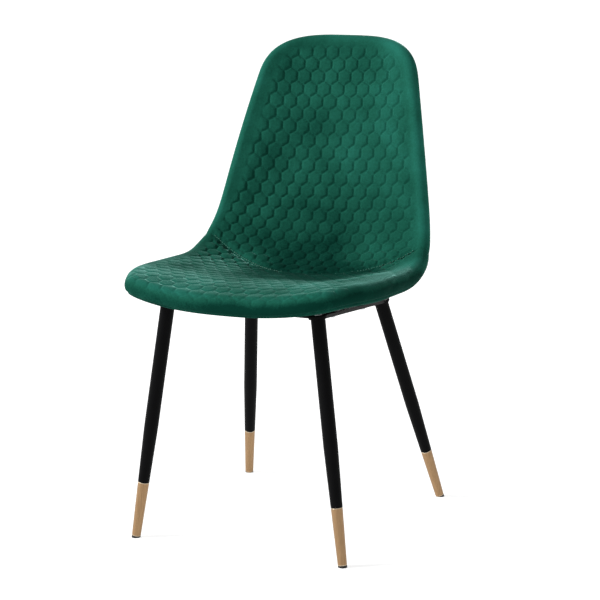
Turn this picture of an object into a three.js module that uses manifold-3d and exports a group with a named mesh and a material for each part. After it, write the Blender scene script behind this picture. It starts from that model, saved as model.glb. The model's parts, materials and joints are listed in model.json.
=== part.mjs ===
// A dining chair: a moulded bucket seat, fully upholstered, on a steel underframe with four
// splayed round legs. Millimetres, +Z up, +X to the sitter's left, the seat's front faces -Y.
// The origin is on the floor, under the middle of the chair.
import * as THREE from 'three';
import { mergeVertices } from 'three/addons/utils/BufferGeometryUtils.js';
import Module from 'manifold-3d';

// ---- Driving dimensions: the seat form ------------------------------------------------------
// The seat is one bent sheet. Its middle line (the spine) runs from the front edge, back along
// the seat, up through the bend and up the back. Distances along it start at the front edge.
const SPINE_FRONT_Y = -260.7; // where the spine starts, at the seat's front edge
const SPINE_FRONT_Z = 445; // height of the spine at the seat's front edge
const SPINE_LENGTH = 813; // from the front edge, round the bend, to the top of the back
const FRONT_PITCH = 6; // degrees above level at the front edge, where the seat rolls down
const FRONT_ROLL = 123; // how far the front roll reaches back
const SEAT_PITCH = -5; // the seat falls towards the back
const BEND_START = 243; // where the seat begins to turn up
const BEND_END = 531; // where the back is straight
const BACK_PITCH = 76;
const TOP_PITCH = 71.5; // the back leans out a little more towards its top

const HALF_WIDTH = 216; // half the seat's width, between the centres of its round rims
const FRONT_HALF_WIDTH = 165;
const FRONT_TAPER = 161; // the seat reaches its full width this far from the front
const TOP_HALF_WIDTH = 131;
const BACK_TAPER_START = 359; // above this the back narrows
const BACK_TAPER_POWER = 1.26;
const FRONT_CORNER = 26; // how far the rounding of the front corners reaches
const FRONT_CORNER_POWER = 2.25;
const TOP_CORNER = 83;
const TOP_CORNER_POWER = 3.05;

const SEAT_WING = 14; // how far the seat's sides rise above its middle
const BACK_WING = 27; // how far the back's sides come forward of its middle
const WING_START = 60;
const WING_END = 380;
const WING_POWER = 2.6; // the wings curve up mostly near the sides

const SEAT_RIM = 18.5; // radius of the round rim at the seat: half the upholstered thickness
const BACK_RIM = 12.5;
const RIM_TAPER_START = 240;
const RIM_TAPER_END = 480;

// ---- Driving dimensions: the layers ---------------------------------------------------------
const GAP = 0.3; // between pieces that touch
const COVER = 2.5; // quilted velvet and plain velvet, each with its backing
const SHELL = 5; // moulded polypropylene
const DUST_COVER = 0.8;
const HEM_ANGLE = 135; // degrees round the rim from its top to the hem seam
const SEAM_MIDDLE = 302; // where the cross seam meets the spine
const SEAM_RISE = 105; // how much farther up the sheet the seam is at the sides
const SEAM_POWER = 1.6;
const UNDERSIDE_MARGIN = 14; // from the mounting bosses to the edge of the opening under the seat
const DUST_COVER_LAP = 10; // how far the dust cover laps over the hem of the outer cover

// ---- Driving dimensions: the steel underframe ------------------------------------------------
const RAIL_FROM_FRONT = 75; // the front rail's place along the spine
const RAIL_WIDTH = 25;
const RAIL_THICKNESS = 6;
const FRAME_CLEARANCE = 0.6; // below the dust cover
const FRAME_DEPTH = 307; // from the front leg tops to the rear leg tops
const LEG_TOP_FRONT_X = 142;
const LEG_TOP_REAR_X = 130;
const BOLT_FRONT = 70; // the frame bolts' places along the side rails, from the front leg tops
const BOLT_REAR = 215;
const BOSS_RADIUS = 11;
const INSERT_RADIUS = 5;
const INSERT_LENGTH = 5.5;
const FRAME_BOLT_RADIUS = 3; // M6
const WASHER_RADIUS = 8;
const WASHER_THICKNESS = 1.6;

// ---- Driving dimensions: the legs -------------------------------------------------------------
const FOOT_FRONT_X = 200;
const FOOT_FRONT_Y = -212;
const FOOT_REAR_X = 202;
const FOOT_REAR_Y = 250.5;
const LEG_RADIUS = 12.5;
const LEG_WALL = 1.5;
const TAPER_FROM_FLOOR = 205; // the leg is straight above this and tapers below it
const TIP_HEIGHT = 102.8; // length of the gold tip, with its glide
const TIP_RADIUS = 10.25; // the leg's radius where the gold tip starts
const FOOT_RADIUS = 8;
const SPIGOT_LENGTH = 20; // the part of the gold tip that goes up into the leg
const GLIDE_HEIGHT = 3;
const GLIDE_STEM = 14;
const PLATE_RADIUS = 16; // the round plate at each corner of the frame, on top of a leg
const PLATE_THICKNESS = 6;
const PLATE_DROP = 1; // from the top of the rails to the middle of a plate's upper face
const PLUG_LENGTH = 30;
const LEG_BOLT_RADIUS = 4; // M8
const LEG_BOLT_LENGTH = 27;

const velvet = { color: 0x175a45, roughness: 0.85, metalness: 0 };
const foam = { color: 0xd8cfae, roughness: 0.95, metalness: 0 };
const plastic = { color: 0x2a2a2c, roughness: 0.6, metalness: 0 };
const nonwoven = { color: 0x161616, roughness: 0.95, metalness: 0 };
const blackSteel = { color: 0x111111, roughness: 0.45, metalness: 0.5 };
const gold = { color: 0xb89164, roughness: 0.4, metalness: 0.7 };
const zinc = { color: 0x9fa3a6, roughness: 0.35, metalness: 0.9 };
const brass = { color: 0xb5974f, roughness: 0.35, metalness: 0.9 };

const wasm = await Module();
wasm.setup();
const { clamp, degToRad, lerp, smoothstep } = THREE.MathUtils;
const chair = new THREE.Group();

function addMesh(parent, name, geometry, look) {
  const mesh = new THREE.Mesh(geometry, new THREE.MeshStandardMaterial(look));
  mesh.name = name;
  parent.add(mesh);
  return mesh;
}

// ---- Closed solids -----------------------------------------------------------------------------

// Position only, with shared corners merged and flat-to-nothing triangles left out.
function weld(geometry) {
  const bare = new THREE.BufferGeometry();
  bare.setAttribute('position', geometry.getAttribute('position').clone());
  if (geometry.index) bare.setIndex(geometry.index.clone());
  const merged = mergeVertices(bare, 1e-4);
  const kept = [];
  const index = merged.index.array;
  for (let i = 0; i < index.length; i += 3) {
    const [a, b, c] = [index[i], index[i + 1], index[i + 2]];
    if (a !== b && b !== c && c !== a) kept.push(a, b, c);
  }
  merged.setIndex(kept);
  return merged;
}

function signedVolume(geometry) {
  const position = geometry.getAttribute('position');
  const corner = [new THREE.Vector3(), new THREE.Vector3(), new THREE.Vector3()];
  let volume = 0;
  for (let i = 0; i < geometry.index.count; i += 3) {
    corner.forEach((point, k) => point.fromBufferAttribute(position, geometry.index.getX(i + k)));
    volume += corner[0].dot(corner[1].clone().cross(corner[2])) / 6;
  }
  return volume;
}

function facingOut(geometry) {
  if (signedVolume(geometry) > 0) return geometry;
  const turned = Array.from(geometry.index.array);
  for (let i = 0; i < turned.length; i += 3) [turned[i], turned[i + 1]] = [turned[i + 1], turned[i]];
  geometry.setIndex(turned);
  return geometry;
}

function toSolid(geometry, matrix = new THREE.Matrix4()) {
  const placed = facingOut(weld(geometry.clone().applyMatrix4(matrix)));
  return new wasm.Manifold(new wasm.Mesh({
    numProp: 3,
    vertProperties: new Float32Array(placed.getAttribute('position').array),
    triVerts: new Uint32Array(placed.index.array),
  }));
}

function toGeometry(solid) {
  const mesh = solid.getMesh();
  const geometry = new THREE.BufferGeometry();
  geometry.setAttribute('position', new THREE.BufferAttribute(mesh.vertProperties, 3));
  geometry.setIndex(new THREE.BufferAttribute(mesh.triVerts, 1));
  geometry.computeVertexNormals();
  return geometry;
}

// A solid of revolution about the local +Z axis, from a closed outline of [radius, height] pairs.
function turned(outline, sides) {
  const points = [...outline, outline[0]].map(([radius, height]) => new THREE.Vector2(radius, height));
  return new THREE.LatheGeometry(points, sides).rotateX(Math.PI / 2);
}

function rod(radius, bottom, top, sides) {
  return turned([[0, bottom], [radius, bottom], [radius, top], [0, top]], sides);
}

function ring(inner, outer, bottom, top, sides) {
  return turned([[inner, bottom], [outer, bottom], [outer, top], [inner, top]], sides);
}

// ---- The seat form -----------------------------------------------------------------------------

function pitchAt(s) {
  const roll = (FRONT_PITCH - SEAT_PITCH) * (1 - smoothstep(s, 0, FRONT_ROLL));
  const bend = (BACK_PITCH - SEAT_PITCH) * smoothstep(s, BEND_START, BEND_END);
  const lean = (TOP_PITCH - BACK_PITCH) * smoothstep(s, BEND_END, SPINE_LENGTH);
  return degToRad(SEAT_PITCH + roll + bend + lean);
}

// The spine's side view, found by walking along it in small steps.
const SPINE_STEPS = 813;
const spineWalk = [{ y: SPINE_FRONT_Y, z: SPINE_FRONT_Z }];
for (let i = 1; i <= SPINE_STEPS; i += 1) {
  const step = SPINE_LENGTH / SPINE_STEPS;
  const pitch = pitchAt((i - 0.5) * step);
  const last = spineWalk[i - 1];
  spineWalk.push({ y: last.y + Math.cos(pitch) * step, z: last.z + Math.sin(pitch) * step });
}

function spineAt(s) {
  const place = (clamp(s, 0, SPINE_LENGTH) / SPINE_LENGTH) * SPINE_STEPS;
  const i = Math.min(Math.floor(place), SPINE_STEPS - 1);
  const [from, to] = [spineWalk[i], spineWalk[i + 1]];
  return { y: lerp(from.y, to.y, place - i), z: lerp(from.z, to.z, place - i) };
}

function halfWidthAt(s) {
  const front = (HALF_WIDTH - FRONT_HALF_WIDTH) * (1 - clamp(s / FRONT_TAPER, 0, 1)) ** 2;
  const up = clamp((s - BACK_TAPER_START) / (SPINE_LENGTH - BACK_TAPER_START), 0, 1);
  return HALF_WIDTH - front - (HALF_WIDTH - TOP_HALF_WIDTH) * up ** BACK_TAPER_POWER;
}

// From 0 at an end of the sheet to 1 where its rounded corner is past.
function cornerAt(distance, reach, power) {
  return (1 - (1 - clamp(distance / reach, 0, 1)) ** power) ** (1 / power);
}

function edgeAt(s) {
  const front = cornerAt(s, FRONT_CORNER, FRONT_CORNER_POWER);
  const top = cornerAt(SPINE_LENGTH - s, TOP_CORNER, TOP_CORNER_POWER);
  return halfWidthAt(s) * front * top;
}

function rimAt(s) {
  return lerp(SEAT_RIM, BACK_RIM, smoothstep(s, RIM_TAPER_START, RIM_TAPER_END));
}

// A point of the sheet's middle surface: s along the spine, x across it.
function sheetPoint(s, x) {
  const pitch = pitchAt(s);
  const wing = lerp(SEAT_WING, BACK_WING, smoothstep(s, WING_START, WING_END));
  const rise = wing * (Math.abs(x) / halfWidthAt(s)) ** WING_POWER;
  const { y, z } = spineAt(s);
  return new THREE.Vector3(x, y - rise * Math.sin(pitch), z + rise * Math.cos(pitch));
}

// The sheet's normal, on the sitter's side.
function sheetNormal(s, x) {
  const step = 0.5;
  const s0 = clamp(s, step, SPINE_LENGTH - step);
  const along = sheetPoint(s0 + step, x).sub(sheetPoint(s0 - step, x));
  const across = sheetPoint(s0, x + step).sub(sheetPoint(s0, x - step));
  return across.cross(along).normalize();
}

// Half of the sheet's outline, from the middle of the front edge to the middle of the top,
// with more points where it turns.
function halfOutline(count) {
  const fine = [];
  const samples = 4000;
  for (let i = 0; i <= samples; i += 1) {
    const s = (SPINE_LENGTH * (1 - Math.cos((Math.PI * i) / samples))) / 2;
    fine.push(new THREE.Vector2(s, edgeAt(s)));
  }
  const turnWeight = 90; // millimetres of edge that one radian of turning counts for
  const walked = [0];
  for (let i = 1; i < fine.length; i += 1) {
    const step = fine[i].clone().sub(fine[i - 1]);
    const last = i > 1 ? fine[i - 1].clone().sub(fine[i - 2]) : step;
    const turn = Math.abs(Math.atan2(last.cross(step), last.dot(step)));
    walked.push(walked[i - 1] + step.length() + turnWeight * turn);
  }
  const total = walked[walked.length - 1];
  return Array.from({ length: count + 1 }, (_, k) => {
    const found = walked.findIndex((value) => value >= (total * k) / count - 1e-9);
    return fine[found];
  });
}

const OUTLINE_HALF = 23; // points along half of the outline
const outline = halfOutline(OUTLINE_HALF);
const fullOutline = [
  ...outline.map((point) => point.clone()),
  ...outline.slice(1, -1).reverse().map((point) => new THREE.Vector2(point.x, -point.y)),
];
const SPOKE_FRONT = 120; // the spokes of the front edge meet here
const SPOKE_TOP = 110; // and those of the top edge this far below the top

// One spoke of the sheet, from the spine out to the outline, with the rim's directions there.
const spokes = fullOutline.map((edge, i) => {
  const count = fullOutline.length;
  const before = fullOutline[(i + count - 1) % count];
  const after = fullOutline[(i + 1) % count];
  const along = sheetPoint(after.x, after.y).sub(sheetPoint(before.x, before.y));
  const up = sheetNormal(edge.x, edge.y);
  return {
    edge,
    inner: new THREE.Vector2(clamp(edge.x, SPOKE_FRONT, SPINE_LENGTH - SPOKE_TOP), 0),
    out: along.cross(up).normalize(),
    up,
  };
});

// A point of a layer: reach is 0 at the spine and 1 at the outline, place gives how far it lies
// outside the outline and above the middle surface for the rim radius there.
function layerPoint(spoke, reach, place) {
  const at = spoke.inner.clone().lerp(spoke.edge, reach);
  const { out, up } = place(rimAt(at.x));
  const point = sheetPoint(at.x, at.y);
  point.addScaledVector(reach < 1 ? sheetNormal(at.x, at.y) : spoke.up, up);
  return point.addScaledVector(spoke.out, out);
}

// A closed solid whose section, the same all the way round, is a loop from the spine out to the
// rim and back to the spine. Each four-sided patch is halved the same way in every layer, so that
// faces that lie against each other stay parallel.
function layerGeometry(section) {
  const points = section.flatMap(({ reach, place }) => (
    spokes.map((spoke) => layerPoint(spoke, reach, place))
  ));
  const index = [];
  for (let j = 0; j + 1 < section.length; j += 1) {
    const [from, to] = [section[j], section[j + 1]];
    const inward = to.reach < from.reach || (to.reach === from.reach && to.turn < from.turn);
    for (let i = 0; i < spokes.length; i += 1) {
      const next = (i + 1) % spokes.length;
      const [a, b] = [j * spokes.length + i, j * spokes.length + next];
      const [c, d] = [b + spokes.length, a + spokes.length];
      if (inward) index.push(a, b, d, b, c, d);
      else index.push(a, b, c, a, c, d);
    }
  }
  const geometry = new THREE.BufferGeometry();
  geometry.setAttribute('position', new THREE.Float32BufferAttribute(points.flatMap((p) => p.toArray()), 3));
  geometry.setIndex(index);
  return facingOut(weld(geometry));
}

// Rings on one face of the sheet, at a height that depends on the rim radius.
const REACHES = [0, 0.3, 0.55, 0.75, 0.9];
function face(height) {
  return REACHES.map((reach) => ({ reach, turn: 0, place: (rim) => ({ out: 0, up: height(rim) }) }));
}

// The rim's section is the same many-sided arc in every layer, so that layers nest.
const RIM_STEP = degToRad(22.5);
function rimPoint(radius, angle) {
  const low = Math.floor(angle / RIM_STEP + 1e-9) * RIM_STEP;
  const part = (angle - low) / RIM_STEP;
  return {
    out: radius * lerp(Math.sin(low), Math.sin(low + RIM_STEP), part),
    up: radius * lerp(Math.cos(low), Math.cos(low + RIM_STEP), part),
  };
}

// The place round the rim, as an angle from its top, that has a given height.
function angleAtHeight(radius, height) {
  const level = clamp(height / radius, -1, 1);
  let low = 0;
  while (Math.cos(low + RIM_STEP) > level && low + RIM_STEP < Math.PI) low += RIM_STEP;
  return low + (RIM_STEP * (Math.cos(low) - level)) / (Math.cos(low) - Math.cos(low + RIM_STEP));
}

// Rings round the rim, inset into the upholstery. Each angle is a function of the inset radius.
function rimArc(inset, angles) {
  return angles.map((angle) => ({
    reach: 1,
    turn: angle(SEAT_RIM - inset),
    place: (rim) => rimPoint(rim - inset, angle(rim - inset)),
  }));
}

function stepsBetween(from, to) {
  const steps = [0, 0.2, 0.4, 0.6, 0.8, 1];
  return steps.map((part) => (radius) => lerp(from(radius), to(radius), part));
}

function cornersBetween(from, to) {
  const angles = [from];
  for (let angle = 0; angle < Math.PI; angle += RIM_STEP) {
    if (angle > from(SEAT_RIM) + 0.1 && angle < to(SEAT_RIM) - 0.1) angles.push(() => angle);
  }
  return [...angles, to];
}

const CORE = COVER + GAP; // from the outside of the upholstery to the foam and shell
const rimTop = () => 0;
const rimBottom = () => Math.PI;
const hem = () => degToRad(HEM_ANGLE);
const hemPastGap = (radius) => degToRad(HEM_ANGLE) + GAP / radius;
const shellTop = (radius) => angleAtHeight(radius, SHELL - radius);
const foamBottom = (radius) => angleAtHeight(radius, SHELL + GAP - radius);

const shellSection = [
  ...face((rim) => SHELL - (rim - CORE)),
  ...rimArc(CORE, stepsBetween(shellTop, rimBottom)),
  ...face((rim) => -(rim - CORE)).reverse(),
];
const foamSection = [
  ...face((rim) => rim - CORE),
  ...rimArc(CORE, stepsBetween(rimTop, foamBottom)),
  ...face((rim) => SHELL + GAP - (rim - CORE)).reverse(),
];
const frontSkinSection = [
  ...face((rim) => rim),
  ...rimArc(0, cornersBetween(rimTop, hem)),
  ...rimArc(COVER, cornersBetween(rimTop, hem)).reverse(),
  ...face((rim) => rim - COVER).reverse(),
];
const rearSkinSection = [
  ...face((rim) => -rim),
  ...rimArc(0, cornersBetween(hemPastGap, rimBottom)).reverse(),
  ...rimArc(COVER, cornersBetween(hemPastGap, rimBottom)),
  ...face((rim) => COVER - rim).reverse(),
];
const DUST_COVER_FACE = GAP + DUST_COVER; // from the outer cover to the dust cover's lower face
const dustSection = [
  ...face((rim) => -rim - GAP),
  ...face((rim) => -rim - DUST_COVER_FACE).reverse(),
];

// Everything under the sheet, from a height above the shell's lower face down past the frame.
const UNDER_DEPTH = 70;
function underSection(height) {
  return [
    ...face((rim) => height - (rim - CORE)),
    ...face((rim) => -(rim - CORE) - UNDER_DEPTH).reverse(),
  ];
}

// ---- The cross seam between the seat and the back -----------------------------------------------

function seamAt(x) {
  return SEAM_MIDDLE + SEAM_RISE * (Math.abs(x) / HALF_WIDTH) ** SEAM_POWER;
}

// An upright block that holds everything in front of the seam, up to a small distance from it.
const BLOCK = 2000;
function frontOfSeam(distance) {
  const steps = 16;
  const plan = new THREE.Shape();
  plan.moveTo(-BLOCK, -BLOCK);
  plan.lineTo(BLOCK, -BLOCK);
  for (let i = 0; i <= steps; i += 1) {
    const x = HALF_WIDTH * (1 - (2 * i) / steps);
    const { y } = sheetPoint(seamAt(x), x);
    if (i === 0) plan.lineTo(BLOCK, y + distance);
    plan.lineTo(x, y + distance);
    if (i === steps) plan.lineTo(-BLOCK, y + distance);
  }
  return toSolid(new THREE.ExtrudeGeometry(plan, { depth: BLOCK, bevelEnabled: false }));
}

const seatSide = frontOfSeam(-GAP / 2);
const seatSideWithGap = frontOfSeam(GAP / 2);

// ---- The underframe's place: level with the seat, just below the dust cover ---------------------

const frame = new THREE.Group();
frame.rotation.x = degToRad(SEAT_PITCH);
const railStart = spineAt(RAIL_FROM_FRONT);
frame.position.set(0, railStart.y, railStart.z);
frame.updateMatrixWorld(true);

// The lowest point, seen from the frame, of the upholstery over the frame.
function lowestOverFrame() {
  const toFrame = frame.matrixWorld.clone().invert();
  let lowest = Infinity;
  for (let s = RAIL_FROM_FRONT - RAIL_WIDTH; s <= BEND_END; s += 5) {
    for (let x = 0; x <= LEG_TOP_FRONT_X; x += 10) {
      const point = sheetPoint(s, x).addScaledVector(sheetNormal(s, x), -rimAt(s) - DUST_COVER_FACE);
      lowest = Math.min(lowest, point.applyMatrix4(toFrame).z);
    }
  }
  return lowest;
}
frame.translateZ(lowestOverFrame() - FRAME_CLEARANCE);
frame.updateMatrixWorld(true);
chair.add(frame);

// The frame's four bolts, in the frame's own coordinates: x, y, and the top of the rails at z = 0.
function railXAt(y) {
  return lerp(LEG_TOP_FRONT_X, LEG_TOP_REAR_X, y / FRAME_DEPTH);
}
const corners = [
  { name: 'front_left', side: 1, end: 'front' },
  { name: 'front_right', side: -1, end: 'front' },
  { name: 'rear_left', side: 1, end: 'rear' },
  { name: 'rear_right', side: -1, end: 'rear' },
];
for (const corner of corners) {
  const front = corner.end === 'front';
  const boltY = front ? BOLT_FRONT : BOLT_REAR;
  corner.bolt = new THREE.Vector3(corner.side * railXAt(boltY), boltY, 0);
  corner.foot = new THREE.Vector3(
    corner.side * (front ? FOOT_FRONT_X : FOOT_REAR_X),
    front ? FOOT_FRONT_Y : FOOT_REAR_Y,
    0,
  );
  corner.legTop = new THREE.Vector3(
    corner.side * (front ? LEG_TOP_FRONT_X : LEG_TOP_REAR_X),
    front ? 0 : FRAME_DEPTH,
    0,
  ).applyMatrix4(frame.matrixWorld);
}

function atBolt(corner, geometry) {
  const place = new THREE.Matrix4().makeTranslation(corner.bolt);
  return toSolid(geometry, place.premultiply(frame.matrixWorld));
}

// ---- The shell, with a boss and a blind bore for each frame bolt ---------------------------------

const ROUND = 16; // sides of small round pieces
function makeShell() {
  const underMiddle = toSolid(layerGeometry(underSection(SHELL / 2)));
  const underSkin = toSolid(layerGeometry(underSection(SHELL - 1)));
  let shell = toSolid(layerGeometry(shellSection));
  for (const corner of corners) {
    const boss = atBolt(corner, rod(BOSS_RADIUS, GAP, UNDER_DEPTH, ROUND)).intersect(underMiddle);
    const bore = atBolt(corner, rod(INSERT_RADIUS + GAP, -GAP, UNDER_DEPTH, ROUND)).intersect(underSkin);
    corner.boreTop = boreHeight(corner);
    shell = shell.add(boss).subtract(bore);
  }
  return toGeometry(shell);
}

// How high above the frame a bore reaches before the shell's upper face, at its lowest place.
function boreHeight(corner) {
  const toFrame = frame.matrixWorld.clone().invert();
  let lowest = Infinity;
  for (let s = 0; s <= BEND_END; s += 1) {
    for (const x of [-INSERT_RADIUS, 0, INSERT_RADIUS]) {
      const across = corner.bolt.x + x;
      const point = sheetPoint(s, across)
        .addScaledVector(sheetNormal(s, across), SHELL - 1 - (rimAt(s) - CORE))
        .applyMatrix4(toFrame);
      if (Math.abs(point.y - corner.bolt.y) <= INSERT_RADIUS + 1) lowest = Math.min(lowest, point.z);
    }
  }
  return lowest;
}

addMesh(chair, 'seat_shell', makeShell(), plastic);

// ---- Foams and covers ----------------------------------------------------------------------------

const foamSolid = toSolid(layerGeometry(foamSection));
addMesh(chair, 'seat_foam', toGeometry(foamSolid.intersect(seatSide)), foam);
addMesh(chair, 'back_foam', toGeometry(foamSolid.subtract(seatSideWithGap)), foam);

const frontSkin = toSolid(layerGeometry(frontSkinSection));
addMesh(chair, 'seat_cover', toGeometry(frontSkin.intersect(seatSide)), velvet);
addMesh(chair, 'back_cover', toGeometry(frontSkin.subtract(seatSideWithGap)), velvet);

// A rounded rectangle under the seat, as an upright block, round all four mounting bosses.
function undersideBlock(margin) {
  const reach = BOSS_RADIUS + margin;
  const bolts = corners.map((corner) => corner.bolt.clone().applyMatrix4(frame.matrixWorld));
  const halfX = Math.max(...bolts.map((bolt) => bolt.x)) + reach;
  const minY = Math.min(...bolts.map((bolt) => bolt.y)) - reach;
  const maxY = Math.max(...bolts.map((bolt) => bolt.y)) + reach;
  const plan = new THREE.Shape();
  plan.absarc(halfX - reach, minY + reach, reach, -Math.PI / 2, 0);
  plan.absarc(halfX - reach, maxY - reach, reach, 0, Math.PI / 2);
  plan.absarc(reach - halfX, maxY - reach, reach, Math.PI / 2, Math.PI);
  plan.absarc(reach - halfX, minY + reach, reach, Math.PI, 1.5 * Math.PI);
  const block = new THREE.ExtrudeGeometry(plan, { depth: BLOCK, bevelEnabled: false, curveSegments: 4 });
  return toSolid(block);
}

const rearSkin = toSolid(layerGeometry(rearSkinSection));
const outerCover = rearSkin.subtract(undersideBlock(UNDERSIDE_MARGIN));
addMesh(chair, 'outer_cover', toGeometry(outerCover), velvet);

function makeDustCover() {
  const sheet = toSolid(layerGeometry(dustSection));
  let cover = sheet.intersect(undersideBlock(UNDERSIDE_MARGIN + DUST_COVER_LAP));
  for (const corner of corners) {
    cover = cover.subtract(atBolt(corner, rod(BOSS_RADIUS + GAP, -UNDER_DEPTH, UNDER_DEPTH, ROUND)));
  }
  return toGeometry(cover);
}
addMesh(chair, 'dust_cover', makeDustCover(), nonwoven);

// ---- Legs: each is a group that stands on its foot and points up along the leg -----------------

const LEG_SIDES = 20;

function makeGlide(leg) {
  const stemRadius = FOOT_RADIUS - LEG_WALL - GAP;
  const shape = turned([
    [0, -FOOT_RADIUS], [FOOT_RADIUS, -FOOT_RADIUS], [FOOT_RADIUS, GLIDE_HEIGHT],
    [stemRadius, GLIDE_HEIGHT], [stemRadius, GLIDE_HEIGHT + GLIDE_STEM], [0, GLIDE_HEIGHT + GLIDE_STEM],
  ], LEG_SIDES);
  const floor = new THREE.BoxGeometry(100, 100, 100).translate(leg.position.x, leg.position.y, -50);
  return toGeometry(toSolid(shape).subtract(toSolid(floor, leg.matrixWorld.clone().invert())));
}

function makeTip() {
  const foot = GLIDE_HEIGHT + GAP;
  const spigot = TIP_RADIUS - LEG_WALL - GAP;
  return turned([
    [FOOT_RADIUS - LEG_WALL, foot], [FOOT_RADIUS, foot], [TIP_RADIUS, TIP_HEIGHT],
    [spigot, TIP_HEIGHT], [spigot, TIP_HEIGHT + SPIGOT_LENGTH],
    [spigot - LEG_WALL, TIP_HEIGHT + SPIGOT_LENGTH], [spigot - LEG_WALL, TIP_HEIGHT],
  ], LEG_SIDES);
}

function makeTube(length) {
  const start = TIP_HEIGHT + GAP;
  return turned([
    [TIP_RADIUS - LEG_WALL, start], [TIP_RADIUS, start], [LEG_RADIUS, TAPER_FROM_FLOOR],
    [LEG_RADIUS, length], [LEG_RADIUS - LEG_WALL, length], [LEG_RADIUS - LEG_WALL, TAPER_FROM_FLOOR],
  ], LEG_SIDES);
}

function makePlate(length) {
  const bottom = length + GAP;
  return ring(LEG_BOLT_RADIUS + GAP, PLATE_RADIUS, bottom, bottom + PLATE_THICKNESS, LEG_SIDES);
}

function makeLegBolt(length) {
  const seat = length + 2 * GAP + PLATE_THICKNESS;
  const tip = seat - LEG_BOLT_LENGTH;
  return turned([
    [0, tip], [LEG_BOLT_RADIUS, tip], [LEG_BOLT_RADIUS, seat], [7, seat], [7, seat + 1.2],
    [4.5, seat + 3], [0, seat + 3],
  ], 12);
}

for (const corner of corners) {
  const leg = new THREE.Group();
  const axis = corner.legTop.clone().sub(corner.foot);
  const length = axis.length() - PLATE_DROP - PLATE_THICKNESS - GAP;
  leg.position.copy(corner.foot);
  leg.quaternion.setFromUnitVectors(new THREE.Vector3(0, 0, 1), axis.normalize());
  leg.updateMatrixWorld(true);
  chair.add(leg);
  corner.leg = leg;
  const plugRadius = LEG_RADIUS - LEG_WALL - GAP;
  addMesh(leg, `${corner.name}_leg_tube`, makeTube(length), blackSteel);
  addMesh(leg, `${corner.name}_gold_tip`, makeTip(), gold);
  addMesh(leg, `${corner.name}_glide`, makeGlide(leg), plastic);
  addMesh(leg, `${corner.name}_leg_plate`, makePlate(length), blackSteel);
  addMesh(
    leg,
    `${corner.name}_leg_plug`,
    ring(LEG_BOLT_RADIUS + GAP, plugRadius, length - PLUG_LENGTH, length, ROUND),
    zinc,
  );
  addMesh(leg, `${corner.name}_leg_bolt`, makeLegBolt(length), zinc);
}

// ---- Rails: flat bars between the plates, coped to fit round them -------------------------------

function legTopInFrame(corner) {
  const front = corner.end === 'front';
  return new THREE.Vector3(corner.side * (front ? LEG_TOP_FRONT_X : LEG_TOP_REAR_X), front ? 0 : FRAME_DEPTH, 0);
}

// A flat bar between two leg tops, grown by a margin at its sides.
function railBar([first, second], margin) {
  const [from, to] = [legTopInFrame(first), legTopInFrame(second)];
  const along = to.clone().sub(from);
  const bar = new THREE.BoxGeometry(along.length(), RAIL_WIDTH + 2 * margin, RAIL_THICKNESS + 2 * margin);
  bar.translate(0, 0, -RAIL_THICKNESS / 2);
  bar.rotateZ(Math.atan2(along.y, along.x));
  return toSolid(bar.translate((from.x + to.x) / 2, (from.y + to.y) / 2, 0));
}

// The plate of one corner, as a longer rod in the frame's coordinates, with the weld gap.
function plateCutter(corner) {
  const length = corner.legTop.distanceTo(corner.foot);
  const reach = 2 * (PLATE_THICKNESS + RAIL_THICKNESS);
  const cutter = rod(PLATE_RADIUS + GAP, length - reach, length + reach, LEG_SIDES);
  return toSolid(cutter, frame.matrixWorld.clone().invert().multiply(corner.leg.matrixWorld));
}

function coped(bar, ends) {
  return ends.reduce((rail, corner) => rail.subtract(plateCutter(corner)), bar);
}

const [frontLeft, frontRight, rearLeft, rearRight] = corners;
const frontEnds = [frontLeft, frontRight];
const rearEnds = [rearLeft, rearRight];

function makeSideRail(ends) {
  let rail = coped(railBar(ends, 0), ends);
  for (const crossEnds of [frontEnds, rearEnds]) rail = rail.subtract(railBar(crossEnds, GAP));
  for (const { bolt } of ends) {
    const hole = rod(FRAME_BOLT_RADIUS + GAP, -2 * RAIL_THICKNESS, RAIL_THICKNESS, ROUND);
    rail = rail.subtract(toSolid(hole.translate(bolt.x, bolt.y, 0)));
  }
  return toGeometry(rail);
}

addMesh(frame, 'front_rail', toGeometry(coped(railBar(frontEnds, 0), frontEnds)), blackSteel);
addMesh(frame, 'rear_rail', toGeometry(coped(railBar(rearEnds, 0), rearEnds)), blackSteel);
addMesh(frame, 'left_rail', makeSideRail([frontLeft, rearLeft]), blackSteel);
addMesh(frame, 'right_rail', makeSideRail([frontRight, rearRight]), blackSteel);

// ---- Frame bolts, washers and threaded inserts --------------------------------------------------

function makeFrameBolt(boreTop) {
  const seat = -RAIL_THICKNESS - WASHER_THICKNESS - 2 * GAP;
  const tip = boreTop - GAP;
  return turned([
    [0, seat - 3], [3.5, seat - 3], [5.2, seat - 1.2], [5.2, seat], [FRAME_BOLT_RADIUS, seat],
    [FRAME_BOLT_RADIUS, tip], [0, tip],
  ], 12);
}

for (const corner of corners) {
  const insertTop = corner.boreTop - GAP;
  const washerTop = -RAIL_THICKNESS - GAP;
  const pieces = [
    ['frame_bolt', makeFrameBolt(corner.boreTop), zinc],
    ['washer', ring(FRAME_BOLT_RADIUS + GAP, WASHER_RADIUS, washerTop - WASHER_THICKNESS, washerTop, ROUND), zinc],
    ['insert', ring(FRAME_BOLT_RADIUS + GAP, INSERT_RADIUS, insertTop - INSERT_LENGTH, insertTop, ROUND), brass],
  ];
  for (const [name, geometry, look] of pieces) {
    addMesh(frame, `${corner.name}_${name}`, geometry, look).position.copy(corner.bolt);
  }
}

// The origin goes on the floor, under the middle of everything.
const box = new THREE.Box3().setFromObject(chair);
chair.position.y = -(box.min.y + box.max.y) / 2;

export default chair;
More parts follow.
